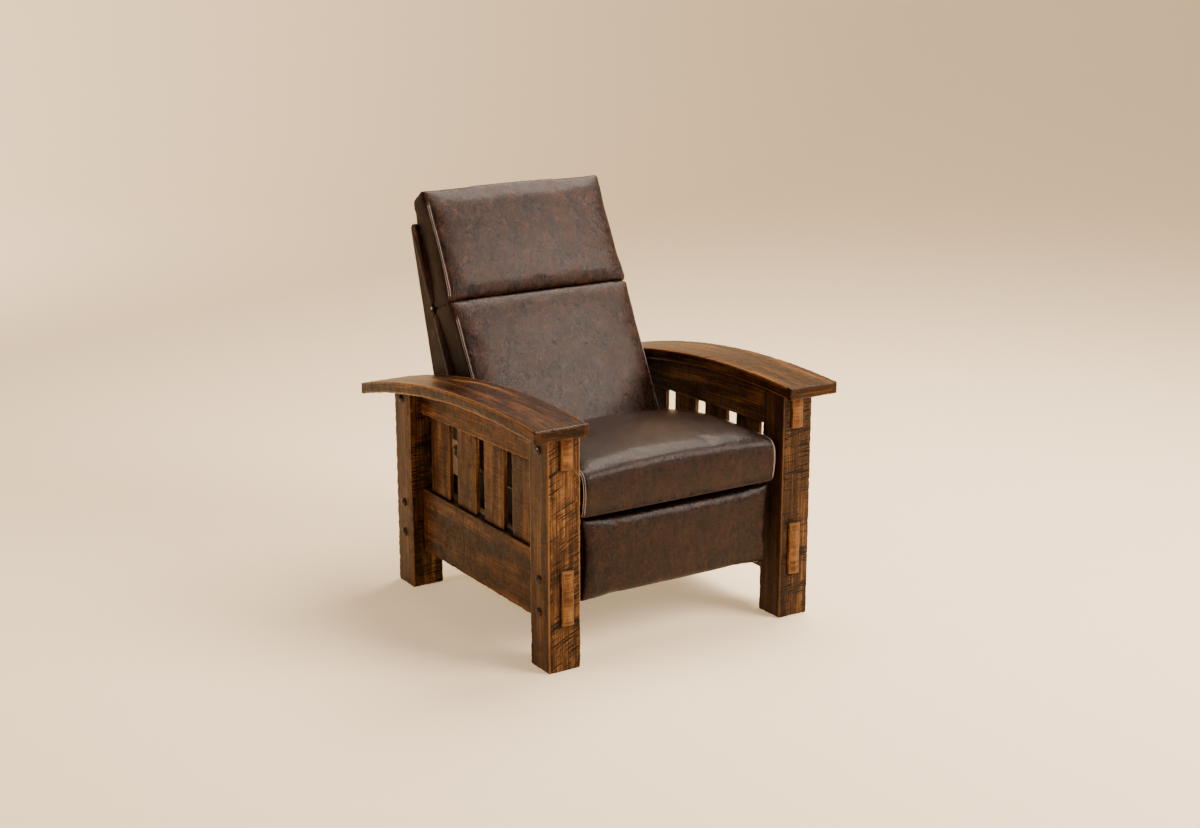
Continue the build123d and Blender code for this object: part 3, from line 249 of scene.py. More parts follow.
def run_length(line):
    """How far each point of a line is from its start, along the line."""
    return np.concatenate([[0], np.cumsum(np.linalg.norm(np.diff(line, axis=0), axis=1))])


def ring_faces(rings, sides):
    """Quads between neighbouring rings of points, each ring closed on itself."""
    ring, step = np.divmod(np.arange((rings - 1) * sides), sides)
    after = (step + 1) % sides
    return np.stack([ring * sides + step, ring * sides + after, (ring + 1) * sides + after,
                     (ring + 1) * sides + step], 1)


def eased_section(across_steps, up_steps, corner_steps=4):
    """Round a rectangle with eased corners. Each point is core times the inner half sizes plus out times the
    ease: core runs straight along each side, and out turns a quarter circle at each corner."""
    core, out = [], []
    for index, normal in enumerate(((1, 0), (0, 1), (-1, 0), (0, -1))):
        normal = np.array(normal, float)
        tangent = np.array((-normal[1], normal[0]))
        line = np.linspace(-1, 1, (across_steps if index % 2 else up_steps) + 1)[:, None]
        core.append(normal + line * tangent)
        out.append(np.repeat(normal[None], len(line), 0))
        turn = np.linspace(0, math.pi / 2, corner_steps + 2)[1:-1, None]
        core.append(np.repeat((normal + tangent)[None], len(turn), 0))
        out.append(np.cos(turn) * normal + np.sin(turn) * tangent)
    return np.concatenate(core), np.concatenate(out)


def length_rows(span, ease, step, rings):
    """The rows down a board's length, as (place, ring, bulge, end). At each end ring grows from 0 at the
    middle to 1 at the rim. Round a quarter circle of the ease, bulge, the sideways part of the surface's
    normal, then grows from 0 to 1, while end, the part along the board, shrinks to 0."""
    turn = np.linspace(0, math.pi / 2, 5)[1:-1]
    flat = np.linspace(0, 1, rings)
    drop = ease * (1 - np.cos(turn))
    body = np.linspace(span[0] + ease, span[1] - ease, max(2, round((span[1] - span[0]) / step)))
    place = np.concatenate([np.full(rings, span[0]), span[0] + drop, body, span[1] - drop[::-1],
                            np.full(rings, span[1])])
    ring = np.concatenate([flat, np.ones(len(place) - 2 * rings), flat[::-1]])
    bulge = np.concatenate([np.zeros(rings), np.sin(turn), np.ones(len(body)), np.sin(turn[::-1]),
                            np.zeros(rings)])
    end = np.concatenate([-np.ones(rings), -np.cos(turn), np.zeros(len(body)), np.cos(turn[::-1]),
                          np.ones(rings)])
    return place, ring, bulge, end


def timber(along, x_range, span, low, high, ease, step, seed, wear=0.35, rough=0.0003, gable=0.0, rings=7):
    """A closed board. Its length runs along axis 1 or 2; its section lies across X and from low to high,
    which are functions of the length. gable lifts the middle of its ends. Noise as high as rough moves the
    surface along its normal, and noise as deep as wear times the ease takes its edges down."""
    width = x_range[1] - x_range[0]
    height = float(np.mean(high(np.array(span)) - low(np.array(span))))
    core, out = eased_section(max(2, round(width / step)), max(2, round(height / step)))
    place, ring, bulge, end = length_rows(span, ease, step, rings)
    rows, columns = len(place), len(core)
    half = np.stack([np.full(rows, width / 2), (high(place) - low(place)) / 2], 1)[:, None]
    middle = np.stack([np.full(rows, sum(x_range) / 2), (high(place) + low(place)) / 2], 1)[:, None]
    section = middle + core[None] * (half - ease) * ring[:, None, None]
    section += out[None] * ease * bulge[:, None, None]
    axes = [0, 3 - along, along]
    points, normal = np.zeros((2, rows, columns, 3))
    points[..., axes] = np.dstack([section, np.repeat(place[:, None], columns, 1)])
    normal[..., axes] = np.dstack([out[None] * bulge[:, None, None], np.repeat(end[:, None], columns, 1)])
    points[..., along] += end[:, None] * gable * (1 - np.abs(section - middle) / half)[..., 0]
    points, normal = points.reshape(-1, 3), normal.reshape(-1, 3)

    reach = np.abs(core)
    far = 9.0
    from_edge = ((1 - reach) * half + (reach[:, ::-1] < 1) * far).min(2)
    from_edge[:, reach.prod(1) > 0.999] = 0.0
    from_end = np.minimum(place - span[0], span[1] - place) + (ring < 1) * ease
    edge = np.exp(-np.minimum(from_edge, from_end[:, None]).ravel() / ease)
    worn = wear * ease * layered_noise(points, 0.021, 0.007, 0.6, seed)
    sawn = rough * layered_noise(points, 0.013, 0.0045, 0.7, seed + 2)
    points += normal * (sawn - edge * np.abs(worn))[:, None]

    closed = np.concatenate([section, section[:, :1]], 1)
    girth = run_length(closed[rows // 2])
    grain = np.stack(np.meshgrid(place, girth, indexing="ij"), 2)
    grain = np.where((ring < 1)[:, None, None], closed, grain) + (seed * 1.37 % 5, seed * 0.71 % 3)
    corners = np.stack([grain[:-1, :-1], grain[:-1, 1:], grain[1:, 1:], grain[1:, :-1]], 2)
    return {"points": points, "faces": [ring_faces(rows, columns)], "grain": corners.ravel(), "edge": edge,
            "end": np.repeat((ring < 1).astype(float), columns), "flank": np.tile(np.abs(out[:, 0]), rows)}


def joined(name, parts):
    """One mesh from several parts. Each has an array of points, and its faces as arrays of equal faces."""
    faces, first = [], 0
    for part in parts:
        for alike in part["faces"]:
            faces += (alike + first).tolist()
        first += len(part["points"])
    mesh = bpy.data.meshes.new(name)
    mesh.from_pydata(np.concatenate([part["points"] for part in parts]), [], faces)
    return mesh


def cleaned(mesh, gap=1e-6, sliver=1e-7):
    """Merges points closer than the gap, dissolves slivers and turns all faces outwards."""
    work = bmesh.new()
    work.from_mesh(mesh)
    bmesh.ops.remove_doubles(work, verts=work.verts, dist=gap)
    if sliver:
        bmesh.ops.dissolve_degenerate(work, edges=work.edges, dist=sliver)
    bmesh.ops.recalc_face_normals(work, faces=work.faces)
    work.to_mesh(mesh)
    work.free()


def dressed(piece, material, body, replaced=None):
    """Gives a piece its material, the body it rides on and the nodes it replaces, if any."""
    piece.data.materials.append(material)
    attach(piece, body)
    if replaced is not None:
        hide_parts(*replaced)


def set_values(mesh, name, values):
    mesh.attributes.new(name, "FLOAT", "POINT").data.foreach_set("value", values.astype(np.float32))


def build_timber(name, shells, material, replaced=(), crevices=()):
    """Joins shells from timber() into one piece of the frame, with the grain as its UV map and with the
    attributes edge, end, flank and crevice. A crevice is a (low corner, high corner) box: the value is 1
    inside it and falls off over the fade."""
    fade = 0.003
    mesh = joined(name, shells)
    points = np.concatenate([shell["points"] for shell in shells])
    shade = np.zeros(len(points))
    for low, high in crevices:
        gap = np.maximum(np.maximum(np.array(low) - points, points - np.array(high)), 0)
        shade = np.maximum(shade, np.exp(-np.linalg.norm(gap, axis=1) / fade))
    grain = np.concatenate([shell["grain"] for shell in shells])
    mesh.uv_layers.new(name="grain").data.foreach_set("uv", grain)
    set_values(mesh, "crevice", shade)
    for attribute in ("edge", "end", "flank"):
        set_values(mesh, attribute, np.concatenate([shell[attribute] for shell in shells]))
    cleaned(mesh)
    mesh.shade_smooth()
    dressed(scene_object(name, mesh), material, "frame", replaced)


def shaded(tone, *shares):
    """A colour times one share, or times a share for each channel."""
    return tuple(c * s for c, s in zip(tone, shares if len(shares) > 1 else shares * 3))


def stained_wood(name, tones, marks=0.0, mark_turn=0.0, sheen=0.42, flank_marks=1.0, edge_share=0.5,
                 mark_pitch=0.0036, painted_flank_shade=0.0):
    """Stained and lacquered timber: fibres along the grain, broad patches of stain, pores, blotches and light
    flecks, dark saw marks across the grain, light worn edges, and dark joints of gathered stain deepened as
    painted shade; a share can also darken the sideways faces as painted shade. tones are the dark, middle,
    light and worn colours. The other shares say how far each effect covers the stain."""
    wood = Finish(name)
    grain = wood.coordinates("UV")
    dark, middle, light, worn = tones
    saw_stain, joint_stain_and_shade = (0.004, 0.0022, 0.0015), (0.004, 0.003, 0.002)
    fibre = wood.noise(grain, (5.0, 260.0, 1), 6.0, 0.62, 0.25)
    broad = wood.noise(grain, (3.2, 26.0, 1), 4.0, 0.55, 0.6, shift=(3.1, 1.7, 0))
    tone = wood.plus(wood.times(fibre, 0.60), wood.times(broad, 0.50))
    wood.ramp(tone, (0.42, dark), (0.52, middle), (0.60, light), (0.70, worn))
    pores = wood.span(wood.noise(grain, (22.0, 700.0, 1), 2.0), 0.60, 0.72)
    wood.cover(shaded(dark, 0.35), pores, 0.55)
    blotch = wood.noise(grain, 16.0, 4.0, 0.6)
    wood.cover(shaded(dark, 0.55), wood.span(blotch, 0.42, 0.66), 0.38)
    fleck = wood.noise(grain, (46.0, 430.0, 1), 2.0, 0.5, 0.2, shift=(1.9, 4.4, 0))
    wood.cover(worn, wood.span(fleck, 0.60, 0.70), 0.5)
    height = wood.plus(wood.times(fibre, 0.7), wood.times(pores, -0.5))
    flank = wood.attribute("flank")
    if marks:
        turned = wood.placed(grain, turn=(0, 0, mark_turn))
        saw = wood.noise(turned, (1 / mark_pitch, 13.0, 1), 3.0, 0.6, 0.4)
        patch = wood.noise(grain, (13.0, 16.0, 1), 3.0, 0.6, shift=(7.3, 2.9, 0))
        line = wood.times(wood.span(saw, 0.495, 0.555), wood.span(patch, 0.40, 0.52))
        line = wood.times(line, wood.span(flank, 0.0, 1.0, 1.0, flank_marks))
        wood.cover(saw_stain, line, marks)
        height = wood.plus(height, wood.times(line, -1.6))
    # Painted shade: faces that look sideways are darkened towards the dark tone by this share.
    wood.cover(dark, flank, painted_flank_shade)
    bend = wood.noise(grain, (3.0, 9.0, 1), 2.0)
    edge = wood.plus(wood.attribute("edge"), wood.times(bend, 0.9))
    wood.cover(worn, wood.span(edge, 1.05, 1.55), edge_share)
    # Joints: stain gathered in them, deepened to near black as painted shade.
    crevice = wood.attribute("crevice")
    wood.cover(joint_stain_and_shade, crevice, 0.93)
    wood.cover(shaded(dark, 0.6), wood.attribute("end"), 0.35)
    dullness = wood.plus(fibre, wood.times(crevice, 0.5))
    return wood.done(wood.span(dullness, 0.3, 0.8, sheen - 0.08, sheen + 0.16),
                     wood.relief(height, 0.0006, 0.7), Specular_IOR_Level=0.13,
                     Specular_Tint=(1.0, 0.78, 0.60, 1))


def level(value):
    """A function of the length that stays at one value."""
    return lambda length: np.full(np.shape(length), value)


side_names = {"left": -1, "right": 1}
post_tones = ((0.0120, 0.0041, 0.0013), (0.054, 0.0202, 0.0062),
              (0.152, 0.063, 0.0200), (0.340, 0.155, 0.055))
arm_seat = 0.004
past_faces = 0.02
tenon_shoulders = {"lower": (0.016, 0.019), "upper": (0.025, 0.0)}
for side_name, side in side_names.items():
    for end_name in ("front", "rear"):
        post = f"{end_name}_post_{side_name}"
        low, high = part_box(post)
        saw_turn = math.radians(24 if post == "front_post_left" else 3)
        # The front right post gets its stain at half strength as painted shade, where the front lamp lights
        # it most; its saw marks are set wider.
        post_painted_shade, saw_pitch = (0.50, 0.0056) if post == "front_post_right" else (1.0, 0.0036)
        sawn_timber = stained_wood(f"sawn_timber_{end_name}_{side_name}",
                                   [shaded(tone, post_painted_shade) for tone in post_tones], 1.0, saw_turn,
                                   flank_marks=0.25, mark_pitch=saw_pitch, painted_flank_shade=0.38)
        mortises = []
        for rail, (below, above) in tenon_shoulders.items():
            rail_low, rail_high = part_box(f"{rail}_rail_{side_name}")
            mortises.append(((rail_low[0], low[1] - past_faces, rail_low[2] + below),
                             (rail_high[0], high[1] + past_faces, rail_high[2] - above)))
        shell = timber(2, (low[0], high[0]), (low[2], high[2] - arm_seat), level(low[1]), level(high[1]),
                       ease=0.0028, step=0.0042, seed=11 + 7 * side + 3 * (end_name == "front"), wear=0.6)
        build_timber(f"{post}_timber", [shell], sawn_timber, [post], mortises)


# Pegs: whittled hardwood, stained darker than the posts. Each has an eight-sided head over a round shank,
# and is driven from outside through the post and the tenon in it.
def plain_wood(name, tones, axis_scale, sheen=0.45, depth=0.0004):
    """Wood with fibres and broad patches drawn out along one axis by the scales."""
    wood = Finish(name)
    place = wood.coordinates()
    fibre = wood.noise(wood.placed(place, shaded(axis_scale, 22)), 10.0, 5.0, 0.6, 0.3)
    broad = wood.noise(wood.placed(place, axis_scale), 14.0, 3.0, 0.5, 0.5)
    tone = wood.plus(wood.times(fibre, 0.6), wood.times(broad, 0.45))
    wood.ramp(tone, *zip((0.38, 0.53, 0.66), tones))
    return wood.done(wood.span(fibre, 0.3, 0.7, sheen - 0.07, sheen + 0.12), wood.relief(fibre, depth, 0.6),
                     Specular_IOR_Level=0.3)


def whittled_pegs(name, side, face_x, places, width=0.0225, height=0.0080, shank=0.006, depth=0.050, sides=8):
    """Each peg is an eight-sided outline carried through rings of (distance out of the post's face, half
    width): a round shank in the wood, a short collar, and facets that rise to a blunt crown."""
    half = width / 2
    crown_shares = (0.30, 1.0), (0.52, 0.86), (0.86, 0.46), (1.0, 0.20), (1.0, 0.0)
    profile = np.array([(-depth, 0.0), (-depth, shank), (0.0, shank), (0.0, half)]
                       + [(out * height, wide * half) for out, wide in crown_shares])
    parts = []
    for index, (y, z) in enumerate(places):
        askew = 0.12 * math.sin(7.0 * index + side)
        turn = np.linspace(0, 2 * math.pi, sides, endpoint=False) + math.pi / sides + askew
        points = np.stack(np.broadcast_arrays((face_x + side * profile[:, 0])[:, None],
                                              y + profile[:, 1:] * np.cos(turn),
                                              z + profile[:, 1:] * np.sin(turn)), -1)
        parts.append({"points": points.reshape(-1, 3), "faces": [ring_faces(len(profile), sides)]})
    mesh = joined(name, parts)
    cleaned(mesh)
    piece = scene_object(name, mesh)
    eased = piece.modifiers.new("eased", "BEVEL")
    eased.width = 0.0006
    eased.segments = 2
    eased.limit_method = "ANGLE"
    return piece


peg_tones = ((0.006, 0.0024, 0.0014), (0.018, 0.0070, 0.0038), (0.050, 0.021, 0.012))
peg_finish = plain_wood("peg_stain", peg_tones, (1, 1, 1), 0.26)
peg_heights = {"front": (0.546, 0.228, 0.146), "rear": (0.512, 0.228, 0.146)}
for side_name, side in side_names.items():
    places = []
    for end_name, heights in peg_heights.items():
        low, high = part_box(f"{end_name}_post_{side_name}")
        places += [((low[1] + high[1]) / 2, z) for z in heights]
    pegs = whittled_pegs(f"pegs_{side_name}_whittled", side, (low if side < 0 else high)[0], places)
    dressed(pegs, peg_finish, "frame", [f"pegs_{side_name}"])


# Side rails: boards between the posts, planed and stained darker than they are. Their tenons pass through the
# posts and end in a low ridge, and the top of the upper rail is cut to the curve of the arm above it.
arm_radius = 2.640
arm_thickness = 0.031
arm_peak_y = -0.2346
arm_peak_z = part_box("arm_left")[1][2]
upper_rail_foot = (0.490, 0.477)
housing = 0.004
tenon_block = 0.020
tenon_ridge = 0.005
tenon_gap = 0.0005
past = 0.1


def arm_top(y):
    """The arm's top arc: a circle of the arm's radius, highest at its peak."""
    return arm_peak_z - arm_radius + np.sqrt(arm_radius**2 - (y - arm_peak_y)**2)


def under_arm(lift):
    """The arm's lower arc as a function of the length, lifted into the arm."""
    return lambda y: arm_top(y) - arm_thickness + lift


def sloped(span, ends):
    """A function of the length that runs straight from one end's value to the other's."""
    return lambda length: ends[0] + (ends[1] - ends[0]) * (length - span[0]) / (span[1] - span[0])


rail_tones = ((0.0090, 0.0028, 0.0008), (0.034, 0.0112, 0.0027),
              (0.098, 0.035, 0.0080), (0.260, 0.102, 0.025))
# The upper rails get the rail stain 1.35 times lighter: painted light on their faces, which lie in shade
# under the arms.
upper_painted_light_tones = [shaded(tone, 1.35) for tone in rail_tones]
tenon_tones = ((0.040, 0.014, 0.004), (0.115, 0.044, 0.012), (0.200, 0.084, 0.024), (0.310, 0.140, 0.045))
rail_finishes = {"lower": stained_wood("rail_stain", rail_tones, 0.45, math.radians(4), 0.40),
                 "upper": stained_wood("upper_rail_painted_light", upper_painted_light_tones, 0.45, math.radians(4), 0.40)}
tenon_finish = stained_wood("tenon_stain", tenon_tones, 0.25, 0.0, 0.42)
for side_name, side in side_names.items():
    front_post, rear_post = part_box(f"front_post_{side_name}"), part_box(f"rear_post_{side_name}")
    bay = (front_post[1][1] - housing, rear_post[0][1] + housing)
    for (rail, (below, above)), seed in zip(tenon_shoulders.items(), (31, 47)):
        node = f"{rail}_rail_{side_name}"
        low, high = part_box(node)
        x_range = (low[0], high[0])
        tenon_foot = level(low[2] + below)
        if rail == "lower":
            foot, top, tenon_top = level(low[2]), level(high[2]), level(high[2] - above)
        else:
            foot, top, tenon_top = sloped(bay, upper_rail_foot), under_arm(housing), under_arm(-tenon_gap)
        board = timber(1, x_range, bay, foot, top, ease=0.0025, step=0.0045, seed=seed + 3 * side, wear=0.7)
        joints = [((low[0] - past, bay[0] - past, 0), (high[0] + past, bay[0] + housing, 1)),
                  ((low[0] - past, bay[1] - housing, 0), (high[0] + past, bay[1] + past, 1)),
                  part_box(f"slats_{side_name}")]
        build_timber(f"{node}_board", [board], rail_finishes[rail], [node], joints)
        blocks = []
        for start, add in ((low[1] + tenon_ridge, 5), (high[1] - tenon_ridge - tenon_block, 9)):
            block = timber(1, x_range, (start, start + tenon_block), tenon_foot, tenon_top, ease=0.0018,
                           step=0.0035, seed=seed + add + side, wear=0.5, gable=tenon_ridge)
            block["end"] *= 0
            blocks.append(block)
        build_timber(f"{node}_tenons", blocks, tenon_finish)


# Slats: four thin boards in each side, stained a little lighter than the rails. They stand in stub mortises
# between the lower and the upper rail.
slat_count = 4
slat_width = 0.098
slat_pitch = 0.140
slat_top = 0.495
slat_stub = 0.006
upper_mortise = 0.484
slat_tones = ((0.011, 0.0036, 0.0011), (0.046, 0.0160, 0.0042),
              (0.130, 0.051, 0.0125), (0.290, 0.125, 0.034))
slat_finish = stained_wood("slat_stain", slat_tones, 0.35, math.radians(2), 0.42)
for side_name, side in side_names.items():
    low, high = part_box(f"slats_{side_name}")
    rail_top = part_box(f"lower_rail_{side_name}")[1][2]
    boards = []
    for index in range(slat_count):
        front = low[1] + slat_pitch * index
        boards.append(timber(2, (low[0], high[0]), (rail_top - slat_stub, slat_top), level(front),
                             level(front + slat_width), ease=0.0016, step=0.0045,
                             seed=61 + 5 * index + side, wear=0.6))
    ends = [((low[0] - past, -1, rail_top - past), (high[0] + past, 1, rail_top)),
            ((low[0] - past, -1, upper_mortise), (high[0] + past, 1, upper_mortise + past))]
    build_timber(f"slats_{side_name}_boards", boards, slat_finish, [f"slats_{side_name}"], ends)


# Arms: a thick plank on each side, bent to one arc and let down over the posts and the upper rail. They are
# smoother and redder than the posts, with ends and edges worn by hand.
arm_tones = ((0.0062, 0.0017, 0.0006), (0.0190, 0.0056, 0.0017),
             (0.046, 0.0150, 0.0040), (0.220, 0.084, 0.0210))
arm_finish = stained_wood("arm_stain", arm_tones, 0.0, 0.0, 0.32, edge_share=0.60)
kept_wear = 0.35
wear_fade = 0.02
for side_name, side in side_names.items():
    low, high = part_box(f"arm_{side_name}")
    plank = timber(1, (low[0], high[0]), (low[1], high[1]), under_arm(0.0), arm_top, ease=0.0045, step=0.0042,
                   seed=83 + side, wear=0.30, rough=0.0004)
    from_end = np.minimum(plank["points"][:, 1] - low[1], high[1] - plank["points"][:, 1])
    plank["edge"] *= np.clip(from_end / wear_fade, kept_wear, 1)
    build_timber(f"arm_{side_name}_plank", [plank], arm_finish, [f"arm_{side_name}"])


# Cross members: one board between the rear posts and one between the lower rails, sawn and stained with the
# side frames and tenoned into them.
def finish_nodes(names, material):
    """Gives pieces of the frame their material."""
    for name in names:
        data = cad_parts[name].data
        data.materials.clear()
        data.materials.append(material)


cross_tones = ((0.006, 0.0019, 0.0006), (0.026, 0.0086, 0.0021), (0.080, 0.028, 0.0066))
cross_finish = plain_wood("cross_member_stain", cross_tones, (0.12, 1, 1))
finish_nodes(("rear_stretcher", "centre_stretcher"), cross_finish)


# Hardwood that the leather hides: cleats, seat box and back frame, planed and left unfinished. The grain runs
# down the length of each board.
raw_tones = ((0.20, 0.125, 0.066), (0.36, 0.245, 0.140), (0.50, 0.365, 0.225))
raw_finishes = [plain_wood(f"planed_wood_{way}", raw_tones, axis_scale, 0.62, 0.0003) for way, axis_scale in
                (("lengthwise", (1, 0.12, 1)), ("crosswise", (0.12, 1, 1)), ("upright", (1, 0.4, 0.12)))]
finish_nodes(("cleats", "seat_box_sides"), raw_finishes[0])
finish_nodes(("seat_box_front", "seat_box_rear", "back_top_rail", "back_middle_rail", "back_bottom_rail"),
             raw_finishes[1])
finish_nodes(("back_side_board_left", "back_side_board_right"), raw_finishes[2])


# Mechanism: pressed steel tracks, plates, brackets and links under black powder coat, which is slightly
# pebbled, and scuffed down to grey where it rubs. They turn on plated pins.
coat = Finish("black_powder_coat", (0.0100, 0.0100, 0.0108))
coat_place = coat.coordinates()
dust, coarse_scuff, fine_scuff = (coat.noise(coat_place, *kind) for kind in
                                  ((9.0, 4.0, 0.6), (38.0, 6.0, 0.7), (260.0, 3.0, 0.6)))
pebble = coat.noise(coat_place, 900.0, 2.0)
coat.cover((0.030, 0.028, 0.025), coat.span(dust, 0.40, 0.75, 0.0, 0.35))
scuff = coat.times(coat.span(coarse_scuff, 0.60, 0.68), coat.span(fine_scuff, 0.45, 0.60))
coat.cover((0.11, 0.105, 0.10), scuff, 0.7)
coat.done(coat.span(pebble, 0.35, 0.65, 0.34, 0.50), coat.relief(pebble, 0.00012, 0.6))
paired = ("track", "seat_plate", "front_link", "rear_link", "main_link", "control_link")
finish_nodes([f"{piece}_{side_name}" for piece in paired for side_name in side_names]
             + ["torque_tube", "recline_brackets", "footrest_brackets"], coat.material)


# Fasteners: bolts, pins, studs and upholstery nails of zinc-plated steel, with the faint spangle of the
# plating. They hold the mechanism to the wood and its links to each other.
zinc = Finish("zinc_plate", (0.58, 0.58, 0.56))
spangle = zinc.cells(zinc.coordinates(), 420.0, "F1")
tarnish = zinc.noise(zinc.coordinates(), 70.0, 5.0, 0.65)
zinc.cover((0.40, 0.40, 0.39), zinc.span(spangle, 0.1, 0.8))
zinc.cover((0.26, 0.22, 0.16), zinc.span(tarnish, 0.48, 0.70, 0.0, 0.6))
zinc.done(zinc.span(tarnish, 0.35, 0.65, 0.24, 0.42), zinc.relief(spangle, 0.00004), Metallic=1.0)
finish_nodes(("track_bolts", "bracket_bolts", "footrest_bolts", "glide_studs", "channel_nails",
              "recline_pins", "seat_pivot_pins", "front_link_pins", "rear_link_pins", "footrest_pins"),
             zinc.material)


# Springs: zigzag steel wire, hardened and blackened in oil. They are hooked over the front and rear rails of
# the seat box.
wire = Finish("blackened_wire", (0.030, 0.029, 0.030))
oil = wire.noise(wire.coordinates(), 55.0, 5.0, 0.65)
wire.cover((0.085, 0.062, 0.045), wire.span(oil, 0.45, 0.66))
wire.done(wire.span(oil, 0.35, 0.65, 0.30, 0.50),
          wire.relief(wire.noise(wire.coordinates(), 700.0, 2.0), 0.00005), Metallic=0.85)
finish_nodes(("seat_springs",), wire.material)


# Glide blocks: natural nylon, milky and slightly waxy, with grey rub marks along the way they slide. They
# are fixed on the seat plates' studs and run in the tracks.
nylon = Finish("natural_nylon", (0.74, 0.71, 0.61))
rub = nylon.noise(nylon.coordinates(), (400.0, 30.0, 400.0), 4.0, 0.6)
cloud = nylon.noise(nylon.coordinates(), 45.0, 3.0)
nylon.cover((0.66, 0.63, 0.54), nylon.span(cloud, 0.35, 0.65))
nylon.cover((0.32, 0.31, 0.29), nylon.span(rub, 0.52, 0.70, 0.0, 0.5))
nylon.done(nylon.span(rub, 0.35, 0.65, 0.36, 0.52), nylon.relief(rub, 0.00008), Subsurface_Weight=0.2)
finish_nodes(("glide_blocks",), nylon.material)


# Webbing: elastic bands, woven from jute-coloured yarn in a plain weave. They are stretched across the back
# frame and stapled to its side boards.
yarn_pitch = 0.0026
band = Finish("elastic_webbing", (0.115, 0.080, 0.045))
weave = band.times(*(band.bands(band.coordinates(), direction, yarn_pitch, 0.6) for direction in ("X", "Z")))
band.cover((0.34, 0.255, 0.155), weave)
band.cover((0.45, 0.36, 0.24), band.span(band.noise(band.coordinates(), 800.0, 3.0), 0.45, 0.70, 0.0, 0.4))
band.done(0.86, band.relief(weave, 0.0005), Sheen_Weight=0.2)
finish_nodes(("back_webbing",), band.material)


# Footrest board: birch plywood, bolted to the footrest brackets. A fine veneer shows on its faces, and
# alternate plies at its edges.
ply_pitch = 0.0030
plies = Finish("plywood")
veneer = plies.noise(plies.coordinates(), (6.0, 90.0, 90.0), 5.0, 0.6, 0.4)
plies.ramp(veneer, (0.36, (0.34, 0.235, 0.130)), (0.52, (0.47, 0.345, 0.205)), (0.66, (0.56, 0.43, 0.275)))
facing = plies.node("NewGeometry", {}, "Normal")
off_face = plies.math("ABSOLUTE", plies.node("SeparateXYZ", {0: facing}, "Y"))
layers = plies.times(plies.bands(plies.coordinates(), "Y", ply_pitch), plies.span(off_face, 0.7, 0.5))
plies.cover((0.16, 0.095, 0.045), layers, 0.6)
plies.done(0.62, plies.relief(veneer, 0.0002))
finish_nodes(("footrest_board",), plies.material)


# Leather: cowhide dyed dark brown, with reddish and blue-grey clouds rubbed in by hand and a fine pebbled
# grain. The seat cushion and the footrest pad have a darker copy of the hide as painted shade, and the outer
# back's duller one also makes the back cushions' sides.
def mottled_leather(name, shade=(1, 1, 1), gloss=(0.18, 0.29), shine=0.20):
    """Clouds of blue-grey over brown, webs of reddish veins, small speckles, and brushing down the piece.
    shade is a share for each channel of its colours; gloss is its lowest and highest roughness."""
    tones = ((0.0105, 0.0048, 0.0034), (0.0780, 0.0280, 0.0136), (0.0026, 0.0026, 0.0033),
             (0.0075, 0.0026, 0.0016))
    brown, red, blue, side_shade_brown = (shaded(tone, *shade) for tone in tones)
    hide = Finish(name, brown)
    place = hide.coordinates()
    drawn = hide.placed(place, (1.0, 1.0, 0.7))
    clouds = hide.noise(drawn, 13.0, 8.0, 0.68, 0.9)
    hide.cover(blue, hide.span(clouds, 0.46, 0.64))
    rubbed = hide.noise(hide.placed(drawn, shift=(3.1, 5.7, 1.9)), 19.0, 10.0, 0.72, 1.0)
    hide.cover(red, hide.span(rubbed, 0.47, 0.70), 0.30)
    for scale, width, share in ((17.0, 0.022, 0.62), (38.0, 0.030, 0.66), (85.0, 0.040, 0.58)):
        vein = hide.math("ABSOLUTE", hide.math("SUBTRACT", hide.noise(drawn, scale, 8.0, 0.70, 1.6), 0.5))
        broken = hide.noise(drawn, scale * 0.8, 4.0, 0.6)
        hide.cover(red, hide.times(hide.span(vein, width, 0.0), hide.span(broken, 0.42, 0.58)), share)
    speckle = hide.noise(place, 230.0, 4.0, 0.7)
    hide.cover(blue, hide.span(speckle, 0.50, 0.72, 0.0, 0.40))
    fibre = hide.noise(place, (210.0, 210.0, 40.0), 3.0, 0.6)
    hide.cover(red, hide.span(fibre, 0.50, 0.74, 0.0, 0.26))
    # Painted shade: faces that look sideways are darkened and reddened.
    hide.cover(side_shade_brown, hide.span(hide.attribute("flank"), 0.55, 0.95), 0.60)
    creases = hide.noise(place, 95.0, 4.0, 0.6, 0.6)
    grain = hide.plus(hide.span(hide.cells(place, 560.0), 0.0, 0.25), hide.times(creases, 0.25))
    brushing = hide.noise(place, (130.0, 130.0, 14.0), 3.0)
    polish = hide.plus(hide.times(rubbed, 0.6), hide.times(fibre, 0.4))
    return hide.done(hide.span(polish, 0.40, 0.60, *gloss),
                     hide.relief(brushing, 0.00022, Normal=hide.relief(grain, 0.00016)),
                     Specular_IOR_Level=shine, Specular_Tint=(1.0, 0.88, 0.80, 1))


leather = mottled_leather("mottled_leather")
# The seat cushion and the footrest pad get a darker copy of the hide: painted shade.
seat_leather_painted_shade = mottled_leather("seat_leather_painted_shade", (0.58, 0.56, 0.58), (0.16, 0.25), 0.17)
outer_leather = mottled_leather("outer_leather", (0.85, 0.60, 0.50), (0.28, 0.42), 0.05)


# Cushions: foam and fibre under leather, drawn tight over the seat box, the back frame and the footrest's
# board. Each starts as its solid, a little smaller, and is blown up as cloth; the side it rests on stays.
def applied(piece):
    """Replaces the piece's mesh with what its modifiers make of it."""
    graph = bpy.context.evaluated_depsgraph_get()
    made = bpy.data.meshes.new_from_object(piece.evaluated_get(graph), depsgraph=graph)
    piece.modifiers.clear()
    piece.data = made


